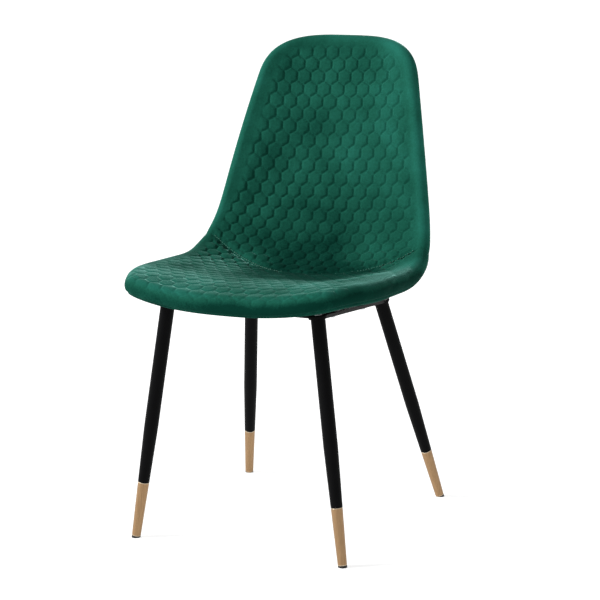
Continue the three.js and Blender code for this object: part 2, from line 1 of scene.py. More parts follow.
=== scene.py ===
# %% [markdown]
# # A quilted dining chair
# A bucket seat covered in green velvet on four splayed steel legs. The CAD model is already
# right in size, so this lesson only gives each piece the look that a plain solid lacks. It
# starts by loading the CAD model as the frame that every new piece is measured against.

# %% Load the frame
import json

import bmesh
import bpy
import numpy as np
from mathutils import Matrix, Vector


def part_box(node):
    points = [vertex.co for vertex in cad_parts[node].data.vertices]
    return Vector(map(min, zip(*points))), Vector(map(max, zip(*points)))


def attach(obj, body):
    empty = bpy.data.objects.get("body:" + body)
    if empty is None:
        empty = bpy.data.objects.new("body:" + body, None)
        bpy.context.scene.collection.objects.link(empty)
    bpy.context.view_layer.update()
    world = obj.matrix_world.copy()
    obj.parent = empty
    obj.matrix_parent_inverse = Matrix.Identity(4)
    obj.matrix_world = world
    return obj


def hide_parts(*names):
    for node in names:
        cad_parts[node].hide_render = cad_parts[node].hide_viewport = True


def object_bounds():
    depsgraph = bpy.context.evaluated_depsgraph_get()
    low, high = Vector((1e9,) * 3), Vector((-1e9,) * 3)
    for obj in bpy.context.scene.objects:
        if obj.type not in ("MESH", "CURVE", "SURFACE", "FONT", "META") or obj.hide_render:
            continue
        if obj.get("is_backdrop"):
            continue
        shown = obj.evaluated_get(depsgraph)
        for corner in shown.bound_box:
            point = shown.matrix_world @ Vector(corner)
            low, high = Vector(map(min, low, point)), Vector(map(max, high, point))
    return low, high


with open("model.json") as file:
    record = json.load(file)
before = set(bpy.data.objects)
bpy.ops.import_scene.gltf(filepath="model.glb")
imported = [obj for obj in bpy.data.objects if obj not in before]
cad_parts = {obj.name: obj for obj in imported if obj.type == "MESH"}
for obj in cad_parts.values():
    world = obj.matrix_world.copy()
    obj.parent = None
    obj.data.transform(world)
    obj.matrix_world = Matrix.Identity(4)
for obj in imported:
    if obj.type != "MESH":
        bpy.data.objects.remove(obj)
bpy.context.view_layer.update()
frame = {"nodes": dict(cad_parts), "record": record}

# %% [markdown]
# ## The seat as one bent sheet
# The real seat is a moulded shell with foam and cloth over it. All of them follow one bent
# sheet, so the sheet is written once as a function of two numbers: s, the distance along its
# middle line from the front edge, and x, the distance to the sitter's left. Everything soft
# is then a height above or below that sheet. A formula was chosen over a sculpted mesh
# because it gives the same shape at any density.

# %% The spine: a side view that is walked along
SPINE_START = (-0.26105, 0.445)
SPINE_LENGTH = 0.813
FRONT_ROLL, BEND_START, BEND_END = 0.123, 0.243, 0.531
SEAT_SLOPE, ROLL_SLOPE, BEND_SLOPE, BACK_SLOPE = -5, 11, 81, -4.5


def ease(value, start, end):
    """0 before start and 1 past end; between them t squared times (3 - 2 t)."""
    t = np.clip((value - start) / (end - start), 0, 1)
    return t * t * (3 - 2 * t)


def pitch(s):
    """How steeply the spine climbs: the seat's slope in degrees, plus one that fades out over
    the front roll, plus one through the bend, plus a small one over the back."""
    front = ROLL_SLOPE * (1 - ease(s, 0, FRONT_ROLL))
    bend = BEND_SLOPE * ease(s, BEND_START, BEND_END)
    back = BACK_SLOPE * ease(s, BEND_END, SPINE_LENGTH)
    return np.radians(SEAT_SLOPE + front + bend + back)


walk = np.linspace(0, SPINE_LENGTH, 8131)
steps, middles = np.diff(walk), (walk[1:] + walk[:-1]) / 2
walk_y = SPINE_START[0] + np.r_[0, np.cumsum(np.cos(pitch(middles)) * steps)]
walk_z = SPINE_START[1] + np.r_[0, np.cumsum(np.sin(pitch(middles)) * steps)]
print("spine climbs from", SPINE_START[1], "to", round(walk_z[-1], 4))

# %% The outline: half the sheet's width at each place along the spine
HALF_WIDTH, FRONT_HALF_WIDTH, TOP_HALF_WIDTH = 0.216, 0.165, 0.131
FRONT_TAPER, BACK_TAPER_START, BACK_TAPER_POWER = 0.161, 0.359, 1.26
FRONT_CORNER, TOP_CORNER = (0.026, 2.25), (0.083, 3.05)


def half_width(s):
    """The full half width, less a square that fades out over the front, less a power law
    that grows up the back."""
    front = (HALF_WIDTH - FRONT_HALF_WIDTH) * (1 - np.clip(s / FRONT_TAPER, 0, 1)) ** 2
    up = np.clip((s - BACK_TAPER_START) / (SPINE_LENGTH - BACK_TAPER_START), 0, 1)
    return HALF_WIDTH - front - (HALF_WIDTH - TOP_HALF_WIDTH) * up ** BACK_TAPER_POWER


def rounding(distance, reach, power):
    """0 at an end of the sheet and 1 where its rounded corner is past: one minus the rest of
    the way to a power, all to the inverse power."""
    rest = 1 - np.clip(distance / reach, 0, 1)
    return (1 - rest ** power) ** (1 / power)


def edge(s):
    """Where the outline is at s: the half width times the rounding of both ends."""
    front, top = rounding(s, *FRONT_CORNER), rounding(SPINE_LENGTH - s, *TOP_CORNER)
    return half_width(s) * front * top


# %% The sheet itself: its rims, wings, points and normals
SEAT_RIM, RIM_THINNING = 0.0185, 0.006
WING_HEIGHT, WING_GROWTH, WING_POWER = 0.014, 0.013, 2.6


def rim(s):
    """Radius of the round rim, which is half of the upholstered thickness: the seat's, less
    a thinning that eases in round the bend."""
    return SEAT_RIM - RIM_THINNING * ease(s, 0.24, 0.48)


def sheet_point(s, x):
    """The spine at s, moved sideways by x and lifted along the spine's normal by the wing: a
    height that grows up the bend, times (x over the half width) to a power."""
    s, x = np.broadcast_arrays(s, x)
    wing = WING_HEIGHT + WING_GROWTH * ease(s, 0.06, 0.38)
    wing = wing * (np.abs(x) / half_width(s)) ** WING_POWER
    y = np.interp(s, walk, walk_y) - wing * np.sin(pitch(s))
    z = np.interp(s, walk, walk_z) + wing * np.cos(pitch(s))
    return np.stack([x, y, z], -1)


def unit(vectors):
    """Each vector divided by its length."""
    return vectors / np.linalg.norm(vectors, axis=-1, keepdims=True)


def sheet_normal(s, x, step=0.0005):
    """Across times along, on the sitter's side."""
    s, x = np.broadcast_arrays(s, x)
    s = np.clip(s, step, SPINE_LENGTH - step)
    along = sheet_point(s + step, x) - sheet_point(s - step, x)
    across = sheet_point(s, x + step) - sheet_point(s, x - step)
    return unit(np.cross(across, along))


print("width at the seat", round(2 * float(edge(0.2) + rim(0.2)), 4))

# %% [markdown]
# ## A grid of spokes
# A cover goes over the face of the seat and round its rim to a hem underneath. A grid of
# plain rows and columns would tear at the rounded corners, so the grid is made of spokes:
# each one starts on the spine, runs out to the outline, and then turns round the rim.

# %% Spokes from the spine to the outline
SPOKE_FRONT, SPOKE_TOP = 0.120, 0.703


def outline(count):
    """The outline as points an even distance apart, in (s, x): from the middle of the front
    edge to the middle of the top on the left, then mirrored back on the right."""
    s = SPINE_LENGTH * (1 - np.cos(np.linspace(0, np.pi, 8001))) / 2
    walked = np.r_[0, np.cumsum(np.hypot(np.diff(s), np.diff(edge(s))))]
    even = np.linspace(0, walked[-1], count // 2 + 1)
    even_s = np.interp(even, walked, s)
    half = np.column_stack([even_s, np.interp(even, walked, edge(s))])
    return np.vstack([half, half[-2:0:-1] * [1, -1]])


def make_spokes(count):
    """For each spoke: its ends on the spine and on the outline, the way out of the outline
    in (s, x), and the ways out of and up from the sheet's edge in space."""
    tip = outline(count)
    ahead, behind = np.roll(tip, -1, 0), np.roll(tip, 1, 0)
    flat = unit(ahead - behind)
    up = sheet_normal(*tip.T)
    out = unit(np.cross(sheet_point(*ahead.T) - sheet_point(*behind.T), up))
    root = np.column_stack([np.clip(tip[:, 0], SPOKE_FRONT, SPOKE_TOP), np.zeros(count)])
    flat_out = np.column_stack([-flat[:, 1], flat[:, 0]])
    return {"tip": tip, "root": root, "flat_out": flat_out, "out": out, "up": up}


# %% A layer of the upholstery on those spokes
def layer(spokes, reaches, turns):
    """Rings at each reach from the spine (0) to the outline (1), then at each turn round the
    rim in radians. Every ring has one point for each spoke. inside is the distance in from
    the outline, and below nought past it; lay_s and lay_x are where the cloth would be if
    it were pressed flat."""
    reach = np.r_[reaches, np.ones(len(turns))][:, None]
    turn = np.r_[np.zeros(len(reaches)), turns][:, None]
    place = spokes["root"] + (spokes["tip"] - spokes["root"]) * reach[..., None]
    s, x = place[..., 0], place[..., 1]
    depth = ((spokes["tip"] - place) * spokes["flat_out"]).sum(-1)
    inside = np.where(turn > 0, -rim(s) * turn, depth)
    lay = place + spokes["flat_out"] * (rim(s) * turn)[..., None]
    up = np.where((reach < 1)[..., None], sheet_normal(s, x), spokes["up"])
    way = np.sin(turn)[..., None] * spokes["out"] + np.cos(turn)[..., None] * up
    return {
        "s": s, "x": x, "turn": turn + 0 * s, "inside": inside,
        "lay_s": lay[..., 0], "lay_x": lay[..., 1],
        "base": sheet_point(s, x), "up": up, "way": way, "out": spokes["out"] + 0 * up,
    }


def ring_faces(rows, count):
    """Four-sided faces between neighbouring rings, facing away from the sheet."""
    ring, spoke = np.mgrid[0:rows - 1, 0:count]
    here, beside = ring * count + spoke, ring * count + (spoke + 1) % count
    return np.stack([here, here + count, beside + count, beside], -1).reshape(-1, 4)


# %% [markdown]
# ## From arrays to meshes
# Every piece ends as points and faces in numpy arrays. Three helpers turn them into good
# meshes: one merges points that lie in one place, one cuts a cloth along a line as scissors
# would, and one hands the arrays to Blender in bulk, which is far quicker than a loop.

# %% Merging points and cutting cloth
GRAIN = 1e-6


def weld(points, faces):
    """Merges points that share a place. A face that loses a corner becomes a triangle, and
    one that loses two is dropped. Returns points, the kept points' numbers, and faces."""
    _, first, merged = np.unique(
        np.round(points / GRAIN).astype(np.int64), axis=0, return_index=True,
        return_inverse=True)
    faces = merged.reshape(-1)[faces]
    same = faces == np.roll(faces, -1, axis=1)
    whole = faces[~same.any(1)]
    pinched, gone = faces[same.sum(1) == 1], same[same.sum(1) == 1]
    if len(pinched) and faces.shape[1] == 4:
        turn = (np.argmax(gone, 1)[:, None] + np.arange(1, 4)) % 4
        triangles = np.take_along_axis(pinched, turn, 1)
    else:
        triangles = np.zeros((0, 3), int)
    return points[first], first, [whole, triangles]


def cut(values, faces, field):
    """Keeps the part of a cloth where field is not below nought. Faces wholly on that side
    stay. A face that the line crosses is halved into triangles, and each of those is cut
    where field passes nought along its edges, so the new edge is a clean line."""
    whole, crossed = [], []
    for group in faces:
        inside = field[group] >= 0
        whole.append(group[inside.all(1)])
        mixed = group[inside.any(1) & ~inside.all(1)]
        halves = ([0, 1, 2], [0, 2, 3])[:group.shape[1] - 2]
        crossed += [mixed[:, half] for half in halves]
    crossed = np.concatenate(crossed)
    inside = field[crossed] >= 0
    kept = [*whole, crossed[inside.all(1)]]
    joints = {}
    for inner in (1, 2):
        chosen = inside.sum(1) == inner
        odd = np.argmax(inside[chosen] == (inner == 1), 1)[:, None]
        joints[inner] = np.take_along_axis(crossed[chosen], (odd + np.arange(3)) % 3, 1)
    pairs = np.concatenate([joints[k][:, [0, j]] for k in (1, 2) for j in (1, 2)])
    pairs, number = np.unique(np.sort(pairs, 1), axis=0, return_inverse=True)
    share = field[pairs[:, 0]] / (field[pairs[:, 0]] - field[pairs[:, 1]])
    fresh = values[pairs[:, 0]] + (values[pairs[:, 1]] - values[pairs[:, 0]]) * share[:, None]
    number = number.reshape(-1) + len(values)
    one, two = len(joints[1]), len(joints[2])
    first1, last1, first2, last2 = np.split(number, np.cumsum([one, one, two]))
    kept.append(np.column_stack([joints[1][:, 0], first1, last1]))
    kept.append(np.column_stack([first2, joints[2][:, 1], joints[2][:, 2], last2]))
    values = np.concatenate([values, fresh])
    used, renumber = np.unique(np.concatenate([g.ravel() for g in kept]), return_inverse=True)
    renumber = renumber.reshape(-1)
    sizes = np.cumsum([g.size for g in kept])[:-1]
    kept = [part.reshape(g.shape) for part, g in zip(np.split(renumber, sizes), kept)]
    return values[used], [g for g in kept if len(g)]


# %% Closing a cloth into a solid, and making the mesh
def closed(outside, inside, faces):
    """Outside points with their faces, inside points with the same faces turned over, and a
    wall along every edge that only one face has."""
    count = len(outside)
    ways = np.concatenate([
        np.stack([g, np.roll(g, -1, 1)], -1).reshape(-1, 2) for g in faces])
    key, back = ways[:, 0] * count + ways[:, 1], ways[:, 1] * count + ways[:, 0]
    rim_ways = ways[~np.isin(key, back)]
    wall = np.column_stack([rim_ways[:, ::-1], rim_ways + count])
    flipped = [g[:, ::-1] + count for g in faces]
    return np.concatenate([outside, inside]), [*faces, *flipped, wall]


def make_piece(name, points, faces, material, sharp=35, values=None, uv=None):
    """One object at the origin, from arrays. Edges that bend more than sharp degrees stay
    sharp. Values are numbers that its material reads at each point, and uv is a flat map of
    the same points."""
    mesh = bpy.data.meshes.new(name)
    corners = np.concatenate([group.ravel() for group in faces]).astype(np.int32)
    sizes = np.concatenate([np.full(len(group), group.shape[1]) for group in faces])
    mesh.vertices.add(len(points))
    mesh.vertices.foreach_set("co", points.astype(np.float32).ravel())
    mesh.loops.add(len(corners))
    mesh.loops.foreach_set("vertex_index", corners)
    mesh.polygons.add(len(sizes))
    mesh.polygons.foreach_set("loop_start", (np.cumsum(sizes) - sizes).astype(np.int32))
    mesh.update(calc_edges=True)
    if uv is not None:
        flat = mesh.uv_layers.new(name="flat")
        flat.data.foreach_set("uv", uv[corners].astype(np.float32).ravel())
    for key, numbers in (values or {}).items():
        made = mesh.attributes.new(key, "FLOAT", "POINT")
        made.data.foreach_set("value", numbers.astype(np.float32))
    mesh.set_sharp_from_angle(angle=np.radians(sharp))
    mesh.materials.append(material)
    piece = bpy.data.objects.new(name, mesh)
    bpy.context.scene.collection.objects.link(piece)
    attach(piece, "root")
    print(name, len(points), "points", len(sizes), "faces")
    return piece


# %% [markdown]
# ## Finishes
# A finish is a small network of shader nodes. Written as plain arithmetic it stays easy to
# read, so one class wraps a socket and turns sums into Math nodes, and one method makes any
# other node. Patterns read the piece's own coordinates, so they stay put when it moves.

# %% Shader sockets as numbers
class Wire:
    """An output socket. Arithmetic on it adds Math nodes."""

    def __init__(self, finish, socket):
        self.finish, self.socket = finish, socket

    def sum(self, operation, first, second):
        """A Math node with two inputs, which are wires or numbers."""
        return self.finish.node(
            "ShaderNodeMath", {"operation": operation}, {0: first, 1: second})

    def __add__(self, other):
        return self.sum("ADD", self, other)

    def __radd__(self, other):
        return self.sum("ADD", other, self)

    def __sub__(self, other):
        return self.sum("SUBTRACT", self, other)

    def __rsub__(self, other):
        return self.sum("SUBTRACT", other, self)

    def __mul__(self, other):
        return self.sum("MULTIPLY", self, other)

    def __rmul__(self, other):
        return self.sum("MULTIPLY", other, self)


# %% A finish and its nodes
class Finish:
    """A material with one Principled shader. Constants are set on its sockets by name."""

    def __init__(self, name, **constants):
        self.material = bpy.data.materials.new(name)
        self.material.use_nodes = True
        self.tree = self.material.node_tree
        self.shader = self.tree.nodes["Principled BSDF"]
        for key, value in constants.items():
            self.shader.inputs[key.replace("_", " ")].default_value = value

    def node(self, kind, settings=None, sockets=None, output=0):
        """Any node: its settings first, a ramp's stops among them, then the values or links
        of its sockets. Returns one of its outputs."""
        made = self.tree.nodes.new(kind)
        for key, value in (settings or {}).items():
            if key == "stops":
                while len(made.color_ramp.elements) < len(value):
                    made.color_ramp.elements.new(1)
                for element, (place, colour) in zip(made.color_ramp.elements, value):
                    element.position, element.color = place, colour
            else:
                setattr(made, key, value)
        for key, value in (sockets or {}).items():
            if isinstance(value, Wire):
                self.tree.links.new(value.socket, made.inputs[key])
            else:
                made.inputs[key].default_value = value
        return Wire(self, made.outputs[output])

    def noise(self, scale, detail=2, roughness=0.5, stretch=None):
        """Cloudy noise on the piece's own coordinates, a number from 0 to 1. Stretch scales
        the coordinates first, so a small number draws the clouds out along that axis."""
        place = self.node("ShaderNodeTexCoord", output="Object")
        if stretch:
            place = self.node("ShaderNodeMapping", {}, {"Vector": place, "Scale": stretch})
        return self.node("ShaderNodeTexNoise", {}, {
            "Vector": place, "Scale": scale, "Detail": detail, "Roughness": roughness}, "Fac")

    def mix(self, share, first, second):
        """Between two colours. The colours' sockets are 6 and 7, and the result is 2."""
        return self.node(
            "ShaderNodeMix", {"data_type": "RGBA"}, {0: share, 6: first, 7: second}, 2)

    def value(self, name):
        """A number that the mesh carries at each point."""
        return self.node("ShaderNodeAttribute", {"attribute_name": name}, output="Fac")

    def feed(self, socket, wire):
        """Links a wire to one of the Principled shader's sockets."""
        self.tree.links.new(wire.socket, self.shader.inputs[socket])

    def bump(self, height, distance, strength=1.0, under=None):
        """A normal tilted by the slope of height, on top of another bump if there is one."""
        sockets = {"Height": height, "Distance": distance, "Strength": strength}
        if under:
            sockets["Normal"] = under
        return self.node("ShaderNodeBump", {}, sockets)


# %% [markdown]
# ## Green velvet
# Velvet is a short upright pile. It looks dark when seen from straight on, because light
# goes down between the hairs, and pale where it is seen at a glancing angle. Sheen gives
# that pale edge. There are two shaders, a lit copy with strong sheen and a shaded copy with
# weak sheen. Each place mixes them by painted light and shade, a number carried by the mesh,
# plus soft clouds of noise, plus fine grains for the single hairs. The same sum paints the
# base colour darker or paler.

# %% The velvet finishes
DARK_PILE_AND_PAINTED_SHADE, PILE_MID = (0.0016, 0.030, 0.020, 1), (0.0085, 0.086, 0.057, 1)
PALE_PILE_AND_PAINTED_HIGHLIGHT = (0.0165, 0.150, 0.110, 1)


def make_velvet(name):
    """A lit copy with strong sheen and a shaded copy with little. The share of the first is a
    half, plus the painted light and shade that the mesh carries and three noises about nought;
    the same share picks the base colour."""
    velvet = Finish(
        name, Roughness=0.85, Sheen_Weight=1.0, Sheen_Roughness=0.26,
        Sheen_Tint=(0.40, 0.86, 0.76, 1), Specular_IOR_Level=0.03)
    # The shaded copy, with weak sheen: painted shade where the mix picks it.
    away = velvet.node("ShaderNodeBsdfPrincipled", {}, {
        "Roughness": 0.9, "Sheen Weight": 0.1, "Sheen Roughness": 0.3,
        "Sheen Tint": (0.20, 0.60, 0.50, 1), "Specular IOR Level": 0.02})
    leaning = velvet.noise(14, 3, 0.55)
    hairs = velvet.noise(900, 2, 0.6)
    grains = velvet.noise(260, 3, 0.7)
    # The mesh's number is painted light and shade: it darkens or pales the base colour.
    share = (leaning - 0.5) * 0.9 + (hairs - 0.5) * 0.5 + velvet.value("pile") * 0.5 + 0.5
    share = share + (grains - 0.5) * 0.5
    colour = velvet.node("ShaderNodeValToRGB", {
        "stops": [(0.0, DARK_PILE_AND_PAINTED_SHADE), (0.5, PILE_MID), (1.0, PALE_PILE_AND_PAINTED_HIGHLIGHT)]}, {0: share})
    grain = velvet.bump(hairs, 0.0006, 0.45)
    normal = velvet.bump(leaning, 0.003, 0.4, velvet.bump(grains, 0.0006, 0.3, grain))
    for shader in (velvet.shader, away.socket.node):
        velvet.tree.links.new(colour.socket, shader.inputs["Base Color"])
        velvet.tree.links.new(normal.socket, shader.inputs["Normal"])
    # Painted sheen: a high share mixes in the lit copy with strong sheen.
    painted_sheen_share = velvet.node("ShaderNodeMapRange", {"clamp": True}, {
        "Value": share, "From Min": 0.15, "From Max": 0.85})
    both = velvet.node("ShaderNodeMixShader", {}, {
        0: painted_sheen_share, 1: away, 2: Wire(velvet, velvet.shader.outputs[0])})
    velvet.tree.links.new(both.socket, velvet.tree.nodes["Material Output"].inputs["Surface"])
    return velvet.material


quilted_velvet = make_velvet("quilted_velvet")
plain_velvet = make_velvet("plain_velvet")
print("velvets:", quilted_velvet.name, "and", plain_velvet.name)

# %% [markdown]
# ## The honeycomb
# The front cloth is sewn to a thin wadding along a net of upright hexagons, so each cell
# stands up as a low pad between narrow grooves. The net lies on the flat cloth, so the
# height of the quilting is a function of where a point was before the cloth was put on. The
# net leans a few degrees, as it does when cloth is pulled over a curved seat.

# %% The net of cells
CELL_WIDTH, ROW_HEIGHT = 0.0271, 0.02387
CELL_AT = (0.0214, 0.7411)
HALF_ROW = np.sqrt(0.75)


def nearest_centre(u, v):
    """Offset from the nearest point of a lattice that is 1 wide and two half rows high."""
    return np.stack([u - np.round(u), v - 2 * HALF_ROW * np.round(v / (2 * HALF_ROW))])


def honeycomb(lay_s, lay_x):
    """Distance to the nearest groove, in metres. The place is first leaned by a small slope
    each way and waved by less than a millimetre, then taken from the nearest centre in two
    interlaced lattices. The distance to a flat side is half a cell less the larger of the
    two slanted coordinates."""
    u = lay_x + 0.0877 * (lay_s - 0.6) - CELL_AT[0]
    v = lay_s - 0.0327 * lay_x - 0.225 * lay_x ** 2 - CELL_AT[1]
    u = u + 0.0007 * np.sin(lay_s / 0.031 + lay_x / 0.023)
    v = v + 0.0006 * np.sin(lay_x / 0.027 - lay_s / 0.035 + 1)
    u, v = u / CELL_WIDTH, v / ROW_HEIGHT * HALF_ROW
    first, second = nearest_centre(u, v), nearest_centre(u - 0.5, v - HALF_ROW)
    nearer = (first ** 2).sum(0) < (second ** 2).sum(0)
    across, along = np.abs(np.where(nearer, first, second))
    side = np.maximum(across, across / 2 + along * HALF_ROW)
    return (0.5 - side) * CELL_WIDTH


def quilting(lay_s, lay_x, inside):
    """How much of the honeycomb shows, from 0 on the plain border to 1: it starts a set
    distance in from the outline, which differs at the front, the sides and the top."""
    left = lay_x > 0
    seat = np.where(left, 0.030, 0.004)
    back = np.where(left, 0.006, 0.002 + 0.012 * ease(lay_s, 0.42, 0.56))
    start = seat + (back - seat) * ease(lay_s, 0.33, 0.42)
    start = start + (0.008 - start) * ease(lay_s, 0.72, 0.79)
    start = start + (-0.026 - start) * (1 - ease(lay_s, 0.04, 0.11))
    return ease(inside, start, start + 0.010)


print("cells across the seat", round(2 * HALF_WIDTH / CELL_WIDTH, 1))

# %% [markdown]
# ## The cross seam and the creases
# Two pieces of quilted cloth are joined in one seam that climbs from the bend to the sides.
# Sewing draws the cloth together there, so small gathers stand square to it, and where the
# seat's cloth is a little slack it creases over the rim. Waves that die away from the seam
# give the gathers, and bell-shaped troughs give the creases: no crease needs its own mesh.

# %% The seam, its gathers and the slack
SEAM_MIDDLE, SEAM_RISE, SEAM_POWER = 0.302, 0.105, 1.6
CREASES = ((0.004, 0.5, 0.25), (-0.012, 0.35, 0.30), (-0.024, 0.25, 0.20))
CREASE_DEPTH, CREASE_WIDTH, CREASE_LENGTH = 0.0010, 0.0060, 0.045


def seam_at(x):
    """The seam's s: its middle, plus a rise times (x over the half width) to a power."""
    return SEAM_MIDDLE + SEAM_RISE * (np.abs(x) / HALF_WIDTH) ** SEAM_POWER


def from_seam(s, x):
    """Distance from the cross seam: the step along the spine, divided by the length of a
    step on the slanted seam."""
    slope = SEAM_RISE * SEAM_POWER / HALF_WIDTH * (np.abs(x) / HALF_WIDTH) ** (SEAM_POWER - 1)
    return (s - seam_at(x)) / np.sqrt(1 + slope ** 2)


def pleats(s, x, seam):
    """Small gathers square to the cross seam: two sine waves along it that die away from it,
    and a longer, deeper one near its ends."""
    small = 0.0005 * (np.sin(x / 0.0014 + 2) + np.sin(x / 0.0021)) * np.exp(-seam / 0.009)
    ends = ease(np.abs(x), 0.11, 0.17) * ease(-np.abs(x), -HALF_WIDTH, -0.19)
    deep = 0.0011 * np.sin(x / 0.0026 + 40 * s) * np.exp(-seam / 0.016) * ends
    return small + np.where(s < seam_at(x), deep, deep / 3)


def drag(s, x, inside):
    """Slack creases on the sitter's left of the seat: each is a shallow bell-shaped trough
    that crosses the rim at a slant and dies away at both ends."""
    total = 0
    for place, slant, at in CREASES:
        away = inside - place - slant * (s - at)
        total = total + np.exp(-(away / CREASE_WIDTH) ** 2 - ((s - at) / CREASE_LENGTH) ** 2)
    return -CREASE_DEPTH * total * ease(x, 0.1, 0.15)


print("seam climbs", round(float(seam_at(HALF_WIDTH) - seam_at(0)), 3), "m to the sides")

# %% [markdown]
# ## Painted light and shade on the velvet
# Wide dark and pale patches are painted on the cloth where shade and light fall: painted
# shade in the bend and under the rim, painted highlights on the front roll, on a crest and
# round the edge of the back. They are worked out for each point of the mesh, and the velvet
# reads them as one number.

# %% The painted light and shade
def paint_light_and_shade(s, x, inside, turn):
    """Painted light and shade, from about -1 (painted shade) to 1 (painted highlight and sheen).
    It is a sum of eased bands: painted highlights on the front roll, on a narrow crest and on
    the seat's left side, painted shade in the bend and on the rim's underside, and a little
    painted highlight round the edge of the back."""
    on_seat = 1 - ease(s, 0.32, 0.38)
    bend = ease(s, 0.08, 0.20) * (1 - ease(s, 0.36, 0.54))
    bend = bend * (0.15 + 0.85 * ease(x, -0.13, -0.03)) * (1 - ease(x, 0.11, 0.20))
    bend = bend * (1 - 0.6 * ease(x, 0.02, 0.12) * (1 - on_seat))
    front = (1 - ease(s, 0.05, 0.16)) * (0.25 + 0.85 * ease(-x, -0.02, 0.14))
    crest = np.exp(-((x - 0.12 - 0.09 * ease(s, 0.08, 0.34)) / 0.014) ** 2) * on_seat
    crest = crest * ease(s, 0.02, 0.10) * (1 - ease(turn, 0.1, 0.9))
    side = ease(x, 0.05, 0.20) * (1 - ease(inside, 0.0, 0.03)) * on_seat
    back = ease(s, 0.36, 0.46) * (0.20 * ease(x, -0.03, 0.12) - 0.10)
    back = back + 0.35 * ease(s, 0.36, 0.46) * (1 - ease(inside, -0.006, 0.010))
    under = on_seat * ease(turn, 0.5 + 0.3 * ease(x, 0.0, 0.2), 1.7)
    return 0.6 * front + 0.8 * crest + 0.25 * side + back - 0.85 * bend - 1.4 * under


# %% The height of the quilted cloth
PUFF, GROOVE = 0.0022, 0.0023
VALLEY_DEPTH, VALLEY_WIDTH = 0.0035, 0.010
FOLD_DEPTH, FOLD_WIDTH = 0.0030, 0.0016
HEM_ROLL, HEM_TURN = 0.0016, np.radians(135)


def quilt_height(s, x, lay_s, lay_x, inside, turn):
    """Height of the quilted cloth over the smooth form: the puffed cells, the gathers and the
    creases, less the valley of the cross seam and its fold, less the roll under at the hem.
    A cell is level, less a bell-shaped groove at its side, plus a part that grows evenly
    towards its middle. The valley and the fold are bells about the seam."""
    away = honeycomb(lay_s, lay_x)
    shows = quilting(lay_s, lay_x, inside)
    groove = np.exp(-(away / GROOVE) ** 2) * shows
    seam = np.abs(from_seam(s, x))
    flat_near_seam = ease(seam, 0.004, 0.012)
    level = 0.8 * ease(inside, -0.010, 0.035)
    pillow = shows * away / CELL_WIDTH
    lower_on_seat = 0.5 + 0.5 * ease(s, 0.18, 0.36)
    puff = PUFF * lower_on_seat * flat_near_seam * (level - groove + pillow)
    puff = puff + pleats(s, x, seam) + drag(s, x, inside)
    valley = VALLEY_DEPTH * np.exp(-(seam / VALLEY_WIDTH) ** 2)
    valley = valley + FOLD_DEPTH * np.exp(-(seam / FOLD_WIDTH) ** 2)
    valley = valley * (1 - 0.65 * ease(np.abs(x), 0.17, 0.212))
    hem = HEM_ROLL * ease(turn, HEM_TURN - 0.16, HEM_TURN)
    return puff - valley - hem


print("the rim turns", round(float(np.degrees(HEM_TURN))), "degrees to the hem")

# %% [markdown]
# ## Pulling the cloth tight
# The form above is too perfect. On the real chair the cloth is pulled over foam, so it
# swells a little between its seams and puckers near them. A cloth simulation on a coarser
# grid finds that: the hem and the cross seam are pinned, and air pressure stands for the
# foam. Its movement is then capped, faded out near the seams, and spread over the fine grid.
# The quilting comes after it, because its grooves are narrower than the coarse grid.

# %% The simulation, on a coarse grid
SIM_SPOKES, SIM_RINGS, SIM_TURNS, SIM_STEPS = 240, 24, 6, 20


def outside_of(grid):
    """The smooth outside: the rim's radius away from the sheet."""
    return grid["base"] + grid["way"] * rim(grid["s"])[..., None]


def swell():
    """Movement of the coarse cloth along its own normal, ring by spoke, after the last step
    of the simulation: moved less start, times the way out, summed over the three axes."""
    grid = layer(make_spokes(SIM_SPOKES), np.linspace(0, 1, SIM_RINGS + 1),
                 np.linspace(0, HEM_TURN, SIM_TURNS + 1)[1:])
    start = outside_of(grid)
    rows = start.shape[0]
    points, first, faces = weld(start.reshape(-1, 3), ring_faces(rows, SIM_SPOKES))
    mesh = bpy.data.meshes.new("cloth")
    mesh.from_pydata(points.tolist(), [], [f for g in faces for f in g.tolist()])
    cloth = bpy.data.objects.new("cloth", mesh)
    bpy.context.scene.collection.objects.link(cloth)
    seam = np.abs(from_seam(grid["s"], grid["x"])).ravel()[first]
    hem = grid["turn"].ravel()[first] > HEM_TURN - 0.01
    pins = cloth.vertex_groups.new(name="pins")
    pins.add(np.flatnonzero(hem | (seam < 0.006)).tolist(), 1.0, "REPLACE")
    settings = cloth.modifiers.new("cloth", "CLOTH").settings
    settings.mass, settings.vertex_group_mass = 0.25, "pins"
    settings.tension_stiffness = settings.compression_stiffness = 40
    settings.bending_stiffness = 0.4
    settings.use_pressure, settings.uniform_pressure_force = True, 0.5
    settings.effector_weights.gravity = 0
    for step in range(1, SIM_STEPS + 1):
        bpy.context.scene.frame_set(step)
    moved = np.zeros(len(points) * 3, np.float32)
    result = cloth.evaluated_get(bpy.context.evaluated_depsgraph_get()).data
    result.vertices.foreach_get("co", moved)
    bpy.context.scene.frame_set(1)
    bpy.data.objects.remove(cloth)
    flat = np.round(start.reshape(-1, 3) / GRAIN).astype(np.int64)
    _, back = np.unique(flat, axis=0, return_inverse=True)
    moved = moved.reshape(-1, 3)[back.reshape(-1)].reshape(start.shape)
    return ((moved - start) * grid["way"]).sum(-1)


